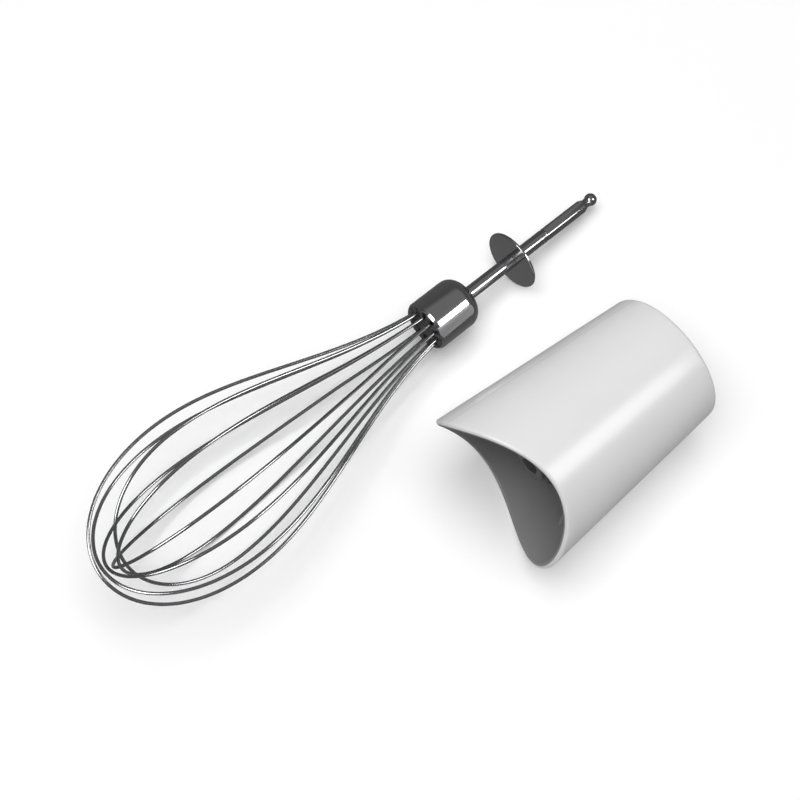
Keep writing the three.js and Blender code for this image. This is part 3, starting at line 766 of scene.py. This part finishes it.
def loop_tree(inputs):
    """Nested wire loops: the object's own curve is the longest, and each copy is shorter and turned."""
    graph = new_tree("nested wire loops", inputs)
    given = graph.node("NodeGroupInput")
    line = graph.node(
        "GeometryNodeResampleCurve",
        {},
        {"Curve": given.out("Geometry"), "Count": given.out("Points")},
    )
    copies = graph.node(
        "GeometryNodeDuplicateElements",
        {"domain": "SPLINE"},
        {"Geometry": line, "Amount": given.out("Loops")},
    )
    index = copies.out("Duplicate Index")
    split = graph.node("ShaderNodeSeparateXYZ", {}, {0: graph.node("GeometryNodeInputPosition")})
    across, along = split.out("X"), given.out("Hub face") - split.out("Z")
    belly, circle, reach = given.out("Belly"), given.out("Circle"), given.out("Belly reach")
    own_belly = belly - index * given.out("Belly step")
    own_length = given.out("Length") - index * given.out("Length step")
    past = along > reach
    before_belly = circle + (abs(across) - circle) * ((own_belly - circle) / (belly - circle))
    after_belly = abs(across) * (own_belly / belly)
    width = (before_belly + past * (after_belly - before_belly)) * across.sign()
    squeeze = (own_length - reach) / (given.out("Length") - reach)
    distance = along + past * ((along - reach) * (squeeze - 1))
    flat = graph.node(
        "ShaderNodeCombineXYZ", {}, {"X": width, "Z": given.out("Hub face") - distance}
    )
    grown_stray = graph.node(
        "ShaderNodeMapRange",
        {"interpolation_type": "SMOOTHSTEP"},
        {"Value": along, "From Max": given.out("Stray reach"), "To Max": given.out("Stray turn")},
    )
    stray = graph.node(
        "ShaderNodeMath",
        {"operation": "COMPARE"},
        {0: index, 1: given.out("Stray loop") - 1, 2: 0.5},
    )
    turn = given.out("First turn") - index * given.out("Turn step") + stray * grown_stray
    turned = graph.node(
        "ShaderNodeVectorRotate", {"rotation_type": "Z_AXIS"}, {"Vector": flat, "Angle": turn}
    )
    placed = graph.node("GeometryNodeSetPosition", {}, {"Geometry": copies, "Position": turned})
    marked = graph.node(
        "GeometryNodeStoreNamedAttribute",
        {"data_type": "FLOAT", "domain": "POINT"},
        {
            "Geometry": placed,
            "Name": "along",
            "Value": graph.node("GeometryNodeSplineParameter").out("Length"),
        },
    )
    section = graph.node(
        "GeometryNodeCurvePrimitiveCircle",
        {"mode": "RADIUS"},
        {"Resolution": given.out("Wire sides"), "Radius": given.out("Wire radius")},
    )
    wires = graph.node(
        "GeometryNodeCurveToMesh",
        {},
        {"Curve": marked, "Profile Curve": section, "Fill Caps": True},
    )
    return closing(graph, wires, given.out("Material"))


def grown(piece, tree, inputs):
    """The piece as a node tree leaves it; inputs are by name, set by each socket's identifier."""
    modifier = piece.modifiers.new(tree.name, "NODES")
    modifier.node_group = tree
    for item in tree.interface.items_tree:
        if item.in_out == "INPUT" and item.name in inputs:
            modifier[item.identifier] = inputs[item.name]
    return applied(piece)


def ringed(piece, copies, first_turn, finish_name):
    """Equal copies of a piece all the way round the z axis."""
    inputs = {
        "Copies": copies,
        "First turn": first_turn,
        "Turn step": 2 * math.pi / copies,
        "Material": finish(finish_name),
    }
    tree = bpy.data.node_groups.get("ring of copies") or ring_tree(inputs)
    return grown(piece, tree, inputs)


# ---------- The adapter's shell ----------
def shell_radius(sizes, height):
    return sizes.nose_radius + math.tan(sizes.taper) * height


def rim_height(sizes, turn):
    wave = sizes.rim_wave * math.cos(2 * turn)
    return sizes.length + wave + sizes.rim_lean * math.cos(turn - sizes.rim_lean_turn)


def wave_rim(mesh, sizes):
    """Draws the top of the tube up or down to the rim's height at each place round it."""
    root = sizes.length - sizes.rim_depth
    slope = math.tan(sizes.taper)
    for vertex in mesh.vertices:
        x, y, z = vertex.co
        if z <= root + TINY:
            continue
        turn = math.atan2(y, x)
        stretch = (rim_height(sizes, turn) - root) / (sizes.length - root)
        rise = (stretch - 1) * (min(z, sizes.length - sizes.rim_round) - root)
        radius = math.hypot(x, y) + slope * rise
        vertex.co = (radius * math.cos(turn), radius * math.sin(turn), z + rise)


def tube_outline(sizes):
    """Half section of the shell, from the nose's hole out, up the outside and down the inside."""
    root = sizes.length - sizes.rim_depth
    steps = [sizes.nose_wall + (root - sizes.nose_wall) * i / 4 for i in range(1, 5)]
    steps += [root + sizes.rim_depth * i / 6 for i in range(1, 6)]
    outside = [(shell_radius(sizes, z), z, 0) for z in steps]
    inside = [(shell_radius(sizes, z) - sizes.wall, z, 0) for z in reversed(steps)]
    return outline(
        (sizes.nose_hole, 0, 0.3 * MM),
        (shell_radius(sizes, 0), 0, sizes.nose_round),
        *outside,
        (shell_radius(sizes, sizes.length), sizes.length, sizes.rim_round),
        (shell_radius(sizes, sizes.length) - sizes.wall, sizes.length, sizes.rim_round * 0.7),
        *inside,
        (shell_radius(sizes, sizes.nose_wall) - sizes.wall, sizes.nose_wall, 1 * MM),
        (sizes.nose_hole, sizes.nose_wall, 0.2 * MM),
    )


def catches(sizes):
    """Small triangular plates inside the mouth that find the motor handle's slots."""
    base, top = sizes.catch_base, sizes.catch_base + sizes.catch_length
    wall = ROOTED * sizes.wall
    corners = [
        (shell_radius(sizes, base) - wall, base),
        (shell_radius(sizes, top) - wall, top),
        (shell_radius(sizes, base) - sizes.wall - sizes.catch_height, base),
    ]
    half = sizes.catch_width / 2
    plate = moved(prism("catch", corners, -half, half), spin(math.pi / 2, "X"))
    return ringed(bevelled(plate, 0.25 * MM), 2, sizes.catch_turn, "shell_white")


def posts(sizes, gearbox):
    """Blocks on the inside wall that take the gearbox's screws."""
    top = gearbox.case_bottom - gearbox.seat_gap
    inner = gearbox.ear_circle - gearbox.ear_radius
    outer = shell_radius(sizes, top) - ROOTED * sizes.wall
    low = top - gearbox.post_length
    post = box("post", outer - inner, gearbox.post_width, low, top)
    post = moved(post, shift(x=(inner + outer) / 2))
    return ringed(post, gearbox.ears, gearbox.ear_turn, "shell_white")


class WHISK_OT_housing_shell(bpy.types.Operator):
    """Build the white tube of the drive adapter"""

    bl_idname = "whisk.housing_shell"
    bl_label = "Housing shell"

    def execute(self, context):
        sizes = context.scene.whisk_shell
        tube = lathe("housing_shell_fine", tube_outline(sizes), FINE)
        wave_rim(tube.data, sizes)
        shell = combined(tube, "UNION", catches(sizes), posts(sizes, context.scene.whisk_gearbox))
        finished(shell, ADAPTER, "adapter", "shell_white", ["housing_shell"])
        return {"FINISHED"}


# ---------- The gearbox ----------
def ear_ring(sizes, low, high, radius, edge=0.0):
    """Round ears for the screws, on their circle."""
    ear = moved(
        lathe("ear", outline((0, low, 0), (radius, low, edge), (radius, high, edge), (0, high, 0)), SMALL),
        shift(x=sizes.ear_circle),
    )
    return ringed(ear, sizes.ears, sizes.ear_turn, "grey_plastic")


class WHISK_OT_gearbox_case(bpy.types.Operator):
    """Build the gearbox's case, whose neck shows at the nose"""

    bl_idname = "whisk.gearbox_case"
    bl_label = "Gearbox case"

    def execute(self, context):
        sizes = context.scene.whisk_gearbox
        edge = 0.3 * MM
        start, top = CASE_START * MM, CASE_TOP * MM
        floor = sizes.case_bottom + sizes.case_floor
        body = lathe(
            "gearbox_case_fine",
            outline(
                (sizes.neck_bore, start, edge),
                (sizes.neck_radius, start, edge),
                (sizes.neck_radius, sizes.case_bottom, 1 * MM),
                (sizes.case_radius, sizes.case_bottom, edge),
                (sizes.case_radius, top, 0),
                (sizes.case_bore, top, 0),
                (sizes.case_bore, floor, edge),
                (sizes.neck_bore, floor, 0),
            ),
            MEDIUM,
        )
        body = combined(body, "UNION", ear_ring(sizes, sizes.case_bottom, top, sizes.ear_radius))
        hollow = cylinder("hollow", sizes.case_bore, floor + edge, top + PAST, MEDIUM)
        body = combined(body, "DIFFERENCE", hollow)
        finished(body, ADAPTER, "adapter", "grey_plastic", ["gearbox_case"])
        return {"FINISHED"}


class WHISK_OT_gearbox_cover(bpy.types.Operator):
    """Build the ribbed cover at the bottom of the mouth"""

    bl_idname = "whisk.gearbox_cover"
    bl_label = "Gearbox cover"

    def execute(self, context):
        sizes = context.scene.whisk_gearbox
        edge = 0.35 * MM
        low, boss = COVER_LOW * MM, BOSS_TOP * MM
        high = low + sizes.cover_thickness
        plate = lathe(
            "gearbox_cover_fine",
            outline(
                (sizes.boss_bore, low, 0),
                (sizes.case_radius, low, 0),
                (sizes.case_radius, high, edge),
                (sizes.boss_radius, high, edge),
                (sizes.boss_radius, boss, edge),
                (sizes.boss_bore, boss, edge / 2),
            ),
            MEDIUM,
        )
        inner = sizes.boss_radius - edge
        outer = sizes.case_radius - 1.2 * MM
        rib = moved(
            box("rib", outer - inner, sizes.rib_width, high - edge, high + sizes.rib_height),
            shift(x=(inner + outer) / 2),
        )
        first_rib = sizes.ear_turn + math.pi / sizes.ribs
        ribs = ringed(bevelled(rib, 0.3 * MM), sizes.ribs, first_rib, "grey_plastic")
        ears = ear_ring(sizes, low, high, sizes.ear_radius, edge)
        plate = combined(plate, "UNION", ears, ribs)
        seats = ear_ring(sizes, high - 0.25 * MM, high + PAST, sizes.head_radius + 0.2 * MM)
        plate = combined(plate, "DIFFERENCE", seats)
        finished(plate, ADAPTER, "adapter", "grey_plastic", ["gearbox_cover"])
        return {"FINISHED"}


class WHISK_OT_gearbox_screws(bpy.types.Operator):
    """Build the pan-head screws that hold the gearbox in the shell"""

    bl_idname = "whisk.gearbox_screws"
    bl_label = "Gearbox screws"

    def execute(self, context):
        sizes = context.scene.whisk_gearbox
        low, high = (value * MM for value in heights("gearbox_screw_1", ADAPTER))
        seat = high - sizes.head_height
        shape = outline(
            (0, low, 0),
            (sizes.screw_radius, low + sizes.screw_radius, 0.2 * MM),
            (sizes.screw_radius, seat, 0),
            (sizes.head_radius, seat, 0.15 * MM),
            (sizes.head_radius, high, 0.8 * MM),
            (0, high, 0),
        )
        floor = high - sizes.recess_depth
        slots = []
        for turn in (0, math.pi / 2):
            slot = box("recess", sizes.recess_length, sizes.recess_width, floor, high + PAST)
            slots.append(moved(bevelled(slot, 0.1 * MM), spin(turn)))
        screw = combined(lathe("gearbox_screws", shape, SMALL), "DIFFERENCE", *slots)
        screw = moved(screw, shift(x=sizes.ear_circle))
        screws = ringed(screw, sizes.ears, sizes.ear_turn, "screw_steel")
        nodes = numbered("gearbox_screw", sizes.ears)
        finished(screws, ADAPTER, "adapter", "screw_steel", nodes)
        return {"FINISHED"}


class WHISK_OT_drive_coupling(bpy.types.Operator):
    """Build the coupling that the motor turns"""

    bl_idname = "whisk.drive_coupling"
    bl_label = "Drive coupling"

    def execute(self, context):
        sizes = context.scene.whisk_gearbox
        low, high = COUPLING_LOW * MM, COUPLING_HIGH * MM
        body = lathe(
            "drive_coupling_fine",
            outline(
                (sizes.coupling_bore, low, 0),
                (sizes.coupling_radius, low, 0.4 * MM),
                (sizes.coupling_radius, high, 0.7 * MM),
                (sizes.coupling_bore, high, 0),
            ),
            MEDIUM,
        )
        floor = high - sizes.hexagon_depth
        corners = [
            (sizes.hexagon * math.cos(turn), sizes.hexagon * math.sin(turn))
            for turn in (math.radians(60 * side) for side in range(6))
        ]
        over = high + PAST
        socket = prism("hexagon", corners, floor, over)
        lead = sizes.hexagon + 0.5 * MM
        cone = outline((0, high - 0.9 * MM, 0), (lead, high + 0.3 * MM, 0), (lead, over, 0), (0, over, 0))
        chamfer = lathe("lead-in", cone, SMALL)
        groove = moved(
            cylinder("grip", 0.55 * MM, low + 1 * MM, over, 20),
            shift(x=sizes.coupling_radius + 0.2 * MM),
        )
        grooves = ringed(groove, sizes.grooves, 0.0, "grey_plastic")
        body = combined(body, "DIFFERENCE", socket, chamfer, grooves)
        finished(body, ADAPTER, "input", "grey_plastic", ["drive_coupling"])
        return {"FINISHED"}


class WHISK_OT_nose_pieces(bpy.types.Operator):
    """Build what shows at the nose: the seal and the spindle's mouth"""

    bl_idname = "whisk.nose_pieces"
    bl_label = "Seal and spindle"

    def execute(self, context):
        sizes = context.scene.whisk_gearbox
        start, end = SEAL_START * MM, SEAL_END * MM
        outer = sizes.neck_bore - sizes.seat_gap
        inner = sizes.spindle_radius + 0.05 * MM
        seal = lathe(
            "lip_seal_fine",
            outline(
                (inner + 0.9 * MM, end, 0.1 * MM),
                (inner + 0.7 * MM, start + 1.1 * MM, 0.3 * MM),
                (inner, start + 0.2 * MM, 0.05 * MM),
                (inner + 0.5 * MM, start, 0.1 * MM),
                (inner + 1.1 * MM, start + 0.7 * MM, 0.2 * MM),
                (outer - 0.7 * MM, start + 0.7 * MM, 0.15 * MM),
                (outer - 0.5 * MM, start, 0.15 * MM),
                (outer, start, 0.1 * MM),
                (outer, end, 0.1 * MM),
            ),
            MEDIUM,
        )
        finished(seal, ADAPTER, "adapter", "seal_rubber", ["lip_seal"])
        low, top = SPINDLE_START * MM, SPINDLE_TOP * MM
        bottom = top - sizes.socket_floor
        spindle = lathe(
            "output_spindle_fine",
            outline(
                (sizes.socket_radius, low, 0.7 * MM),
                (sizes.spindle_radius, low, 0.4 * MM),
                (sizes.spindle_radius, top, 0.3 * MM),
                (sizes.stub_radius, top, 0),
                (sizes.stub_radius, top - sizes.stub_depth, 0),
                (0, top - sizes.stub_depth, 0),
                (0, bottom, 0),
                (sizes.socket_radius, bottom, 0.5 * MM),
            ),
            MEDIUM,
        )
        finished(spindle, ADAPTER, "output", "gear_steel", ["output_spindle"])
        return {"FINISHED"}


class WHISK_OT_hidden_parts(bpy.types.Operator):
    """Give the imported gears, shafts, bushes and pins their materials"""

    bl_idname = "whisk.hidden_parts"
    bl_label = "Hidden parts"

    looks = {
        "natural_nylon": ["ring_gear", *numbered("planet_gear", 3)],
        "bush_bronze": ["front_bush", "rear_bush", "input_bush"],
        "spring_steel": ["retaining_spring"],
        "gear_steel": ["planet_carrier", *numbered("planet_pin", 3), "input_shaft", "sun_gear"],
    }

    def execute(self, context):
        for finish_name, nodes in self.looks.items():
            for node in nodes:
                piece = frame["nodes"][node]
                piece.data.materials.clear()
                piece.data.materials.append(finish(finish_name))
        return {"FINISHED"}


# ---------- The whisk ----------
class WHISK_OT_drive_shaft(bpy.types.Operator):
    """Build the whisk's shaft with its flats, ring groove and snap ball"""

    bl_idname = "whisk.drive_shaft"
    bl_label = "Drive shaft"

    def execute(self, context):
        sizes = context.scene.whisk_sizes
        low = heights("drive_shaft", WHISK)[0] * MM
        radius, neck = sizes.shaft_radius, sizes.neck_radius
        end = sizes.flat_start + sizes.notch_width
        shoulder = sizes.shaft_reach + sizes.shoulder
        first = math.degrees(math.asin(neck / sizes.ball_radius)) - 90
        shape = outline(
            (0, low, 0),
            (radius, low, 0.3 * MM),
            (radius, sizes.flat_start, 0.08 * MM),
            (radius - sizes.notch_depth, sizes.flat_start + 0.1 * MM, 0.08 * MM),
            (radius - sizes.notch_depth, end - 0.1 * MM, 0.08 * MM),
            (radius, end, 0.08 * MM),
            (radius, sizes.shaft_reach, 0.4 * MM),
            (neck, shoulder, 0.25 * MM),
            *arc(0, sizes.ball_reach, sizes.ball_radius, first, 90, 18),
        )
        shape[-1] = Vector((0, sizes.ball_reach + sizes.ball_radius))
        shaft = lathe("drive_shaft_fine", shape, SMALL)
        off_axis = radius - sizes.flat_depth + radius / 2
        flats = [
            moved(
                box("flat", 2 * sizes.ball_radius + PAST, radius, end, shoulder),
                shift(y=side * off_axis),
            )
            for side in (1, -1)
        ]
        shaft = combined(shaft, "DIFFERENCE", *flats)
        finished(shaft, WHISK, "whisk", "shaft_steel", ["drive_shaft"], crease=24)
        return {"FINISHED"}


class WHISK_OT_stop_disc(bpy.types.Operator):
    """Build the disc that stops against the adapter's nose"""

    bl_idname = "whisk.stop_disc"
    bl_label = "Stop disc"

    def execute(self, context):
        sizes = context.scene.whisk_sizes
        half = sizes.disc_thickness / 2
        bore = sizes.shaft_radius + sizes.gap
        shape = outline(
            (bore, -half, 0),
            (sizes.disc_radius, -half, 0.35 * MM),
            (sizes.disc_radius, half, 0.35 * MM),
            (bore, half, 0),
        )
        disc = lathe("stop_disc_fine", shape, MEDIUM)
        finished(disc, WHISK, "whisk", "polished_steel", ["stop_disc"])
        return {"FINISHED"}


class WHISK_OT_collar(bpy.types.Operator):
    """Build the polished cup over the roots of the wires"""

    bl_idname = "whisk.collar"
    bl_label = "Collar"

    def execute(self, context):
        sizes = context.scene.whisk_sizes
        top = -sizes.collar_top
        low = top - sizes.collar_length
        outer, wall = sizes.collar_radius, sizes.collar_wall
        bore = sizes.shaft_radius + sizes.gap
        shape = outline(
            (outer - wall, low, 0.08 * MM),
            (outer - 0.65 * sizes.collar_lip, low, 0.12 * MM),
            (outer, low + sizes.collar_lip, 0.5 * MM),
            (outer, top, sizes.collar_round),
            (bore, top, 0.1 * MM),
            (bore, top - wall, 0),
            (outer - wall, top - wall, sizes.collar_round - wall),
        )
        collar = lathe("collar_fine", shape, MEDIUM)
        finished(collar, WHISK, "whisk", "polished_steel", ["collar"])
        return {"FINISHED"}


def hub_block(hub_radius, root, low, high, half_slot, half_turn):
    """One block of the hub: a wedge between two wire slots."""
    edge_turn = half_turn - math.asin(half_slot / hub_radius)
    inner_turn = max(half_turn - math.asin(half_slot / root), 0.02)
    steps = 6
    arc_turns = [edge_turn * (2 * step / steps - 1) for step in range(steps + 1)]
    corners = [(hub_radius * math.cos(turn), hub_radius * math.sin(turn)) for turn in arc_turns]
    corners += [(root * math.cos(turn), root * math.sin(turn)) for turn in (inner_turn, -inner_turn)]
    return bevelled(prism("hub block", corners, low, high), 0.3 * MM, 2)


class WHISK_OT_wire_hub(bpy.types.Operator):
    """Build the dark hub whose blocks stand between the wires"""

    bl_idname = "whisk.wire_hub"
    bl_label = "Wire hub"

    def execute(self, context):
        sizes, loops = context.scene.whisk_sizes, context.scene.whisk_loops
        low, high = (value * MM for value in heights("wire_hub", WHISK))
        hub_radius = sizes.collar_radius - sizes.collar_wall - sizes.gap
        bore = sizes.shaft_radius + sizes.gap
        half_slot = loops.wire_radius + loops.slot_gap
        wire_end = loops.circle - loops.grip * math.tan(loops.lean)
        root = wire_end - loops.wire_radius - loops.slot_room
        head = sizes.collar_round - sizes.collar_wall - sizes.gap
        slot_end = low + loops.grip + sizes.gap
        seat = sizes.shaft_seat - sizes.collar_top - sizes.collar_length - sizes.gap
        shape = outline(
            (0, low + 0.4 * MM, 0),
            (root + 0.3 * MM, low + 0.4 * MM, 0.3 * MM),
            (root + 0.3 * MM, slot_end, 0),
            (hub_radius, slot_end, 0),
            (hub_radius, high, head),
            (bore, high, 0),
            (bore, seat, 0),
            (0, seat, 0),
        )
        core = lathe("wire_hub_fine", shape, MEDIUM)
        half_turn = math.pi / (2 * loops.loops)
        block = hub_block(hub_radius, root, low, slot_end + 0.5 * MM, half_slot, half_turn)
        blocks = ringed(block, 2 * loops.loops, loops.first_turn + half_turn, "hub_plastic")
        hub = combined(core, "UNION", blocks)
        finished(hub, WHISK, "whisk", "hub_plastic", ["wire_hub"])
        return {"FINISHED"}


def loop_curve(sizes, hub_face):
    """The longest loop as one curve in the x-z plane, out of the hub, round the tip and back."""
    slope = Vector((math.sin(sizes.lean), math.cos(sizes.lean)))
    start = Vector((sizes.circle - sizes.grip * math.tan(sizes.lean), -sizes.grip))
    leave = Vector((sizes.circle, 0))
    belly = Vector((sizes.belly, sizes.belly_reach))
    tip = Vector((0, sizes.length))
    front = Vector((0, sizes.belly_front * (sizes.length - sizes.belly_reach)))
    side = Vector((sizes.tip_flatness * sizes.belly, 0))
    third = (leave - start) / 3
    half = [
        (start, start - third, start + third),
        (leave, leave - third, leave + slope * sizes.hub_handle),
        (belly, belly - Vector((0, sizes.belly_handle)), belly + front),
        (tip, tip + side, tip - side),
    ]
    flip = Matrix(((-1, 0), (0, 1)))
    back = [(flip @ point, flip @ after, flip @ before) for point, before, after in reversed(half[:-1])]
    curve = bpy.data.curves.new("wire loops", "CURVE")
    curve.dimensions = "3D"
    spline = curve.splines.new("BEZIER")
    spline.resolution_u = 64
    spline.bezier_points.add(len(half + back) - 1)
    for knot, (point, before, after) in zip(spline.bezier_points, half + back):
        knot.handle_left_type = knot.handle_right_type = "FREE"
        knot.co, knot.handle_left, knot.handle_right = (
            (r, 0, hub_face - s) for r, s in (point, before, after)
        )
    return show("whisk_wires", curve)


class WHISK_OT_wire_loops(bpy.types.Operator):
    """Build the six nested wire loops"""

    bl_idname = "whisk.wire_loops"
    bl_label = "Wire loops"

    def execute(self, context):
        sizes = context.scene.whisk_loops
        hub_face = heights("wire_hub", WHISK)[0] * MM
        inputs = {
            "Loops": sizes.loops,
            "Points": sizes.wire_points,
            "First turn": sizes.first_turn,
            "Turn step": math.pi / sizes.loops,
            "Circle": sizes.circle,
            "Hub face": hub_face,
            "Belly": sizes.belly,
            "Belly step": sizes.belly_step,
            "Belly reach": sizes.belly_reach,
            "Length": sizes.length,
            "Length step": sizes.length_step,
            "Stray loop": sizes.stray,
            "Stray turn": sizes.stray_turn,
            "Stray reach": sizes.hub_handle,
            "Wire radius": sizes.wire_radius,
            "Wire sides": sizes.wire_sides,
            "Material": finish("wire_steel"),
        }
        wires = grown(loop_curve(sizes, hub_face), loop_tree(inputs), inputs)
        outward(wires.data)
        nodes = numbered("wire_loop", sizes.loops)
        finished(wires, WHISK, "whisk", "wire_steel", nodes, crease=60)
        return {"FINISHED"}


# ---------- The stage ----------
def area_light(name, direction, distance, size, watts, mirrored):
    """A rectangular softbox over the object, its width along x; mirrored says that steel shows it."""
    lamp = bpy.data.lights.new(name, "AREA")
    lamp.shape = "RECTANGLE"
    lamp.size, lamp.size_y = size
    lamp.energy = watts
    light = show(name, lamp)
    z = Vector(direction).normalized()
    centre = (CAD_BOX[0] + CAD_BOX[1]) / 2
    light.matrix_world = place(centre + z * distance, z, centre + z * distance + Vector((1, 0, 0)))
    light.visible_glossy, light.visible_diffuse = mirrored, not mirrored
    light.visible_camera = False
    return light


def studio_air(scene):
    """Dim walls round the object, a little lighter overhead and low down."""
    world = bpy.data.worlds.new("studio")
    world.use_nodes = True
    graph = Graph(world.node_tree)
    graph.tree.nodes.clear()
    way = graph.node("ShaderNodeTexCoord").out("Generated")
    up = graph.node("ShaderNodeSeparateXYZ", {}, {0: way}).out("Z")
    grey = graph.node(
        "ShaderNodeValToRGB",
        {"stops": [(0.0, 0.17), (0.3, 0.12), (0.5, 0.12), (0.78, 0.1), (0.87, 0.22), (1.0, 0.22)]},
        {"Fac": up * 0.5 + 0.5},
    )
    light = graph.node("ShaderNodeBackground", {}, {"Color": grey})
    graph.node("ShaderNodeOutputWorld", {}, {"Surface": light})
    scene.world = world


class WHISK_OT_stage(bpy.types.Operator):
    """Set the camera, the pale floor and the soft studio light"""

    bl_idname = "whisk.stage"
    bl_label = "Stage"

    def execute(self, context):
        scene, settings = context.scene, stage_settings()
        camera = show("camera", bpy.data.cameras.new("camera"))
        camera.data.lens = settings.lens
        camera.data.clip_end = 20
        camera.location = settings.camera
        camera.rotation_euler = (settings.tip, 0, settings.heading)
        scene.camera = camera
        scene.view_settings.view_transform = "Standard"
        half = 6.0
        corners = [(-half, -half), (half, -half), (half, half), (-half, half)]
        floor = prism("floor", corners, -0.02, 0)
        floor.data.materials.append(floor_finish())
        floor.visible_glossy = False
        studio_air(scene)
        area_light("key softbox", (0.50, -0.61, 0.62), 1.2, (0.45, 0.44), settings.key, True)
        area_light("fill softbox", (-0.62, 0.05, 0.78), 1.2, (0.8, 0.6), settings.fill, True)
        area_light("top light", (-0.05, 0.02, 1.0), 1.5, (1.4, 1.4), settings.top, False)
        return {"FINISHED"}


# ---------- Panel and registration ----------
def colours():
    return bpy.context.scene.whisk_colours


def stage_settings():
    return bpy.context.scene.whisk_stage


PIECES = (
    WHISK_OT_stage,
    WHISK_OT_housing_shell,
    WHISK_OT_gearbox_case,
    WHISK_OT_gearbox_cover,
    WHISK_OT_gearbox_screws,
    WHISK_OT_drive_coupling,
    WHISK_OT_nose_pieces,
    WHISK_OT_hidden_parts,
    WHISK_OT_drive_shaft,
    WHISK_OT_stop_disc,
    WHISK_OT_collar,
    WHISK_OT_wire_hub,
    WHISK_OT_wire_loops,
)
GROUPS = {
    "whisk_shell": ShellSizes,
    "whisk_gearbox": GearboxSizes,
    "whisk_sizes": WhiskSizes,
    "whisk_loops": LoopSizes,
    "whisk_colours": FinishColours,
    "whisk_stage": StageSettings,
}


class VIEW3D_PT_whisk(bpy.types.Panel):
    """Pieces and sizes of the whisk attachment"""

    bl_label = "Whisk attachment"
    bl_space_type = "VIEW_3D"
    bl_region_type = "UI"
    bl_category = "Whisk"

    def draw(self, context):
        for piece in PIECES:
            self.layout.operator(piece.bl_idname)
        for name, group in GROUPS.items():
            column = self.layout.box().column()
            for size in group.__annotations__:
                column.prop(getattr(context.scene, name), size)


def register():
    for kind in (*GROUPS.values(), *PIECES, VIEW3D_PT_whisk):
        bpy.utils.register_class(kind)
    for name, group in GROUPS.items():
        setattr(bpy.types.Scene, name, PointerProperty(type=group))


def unregister():
    for name in GROUPS:
        delattr(bpy.types.Scene, name)
    for kind in reversed((*GROUPS.values(), *PIECES, VIEW3D_PT_whisk)):
        bpy.utils.unregister_class(kind)


def main():
    register()
    for piece in PIECES:
        group, name = piece.bl_idname.split(".")
        getattr(getattr(bpy.ops, group), name)()


if __name__ == "__main__":
    main()
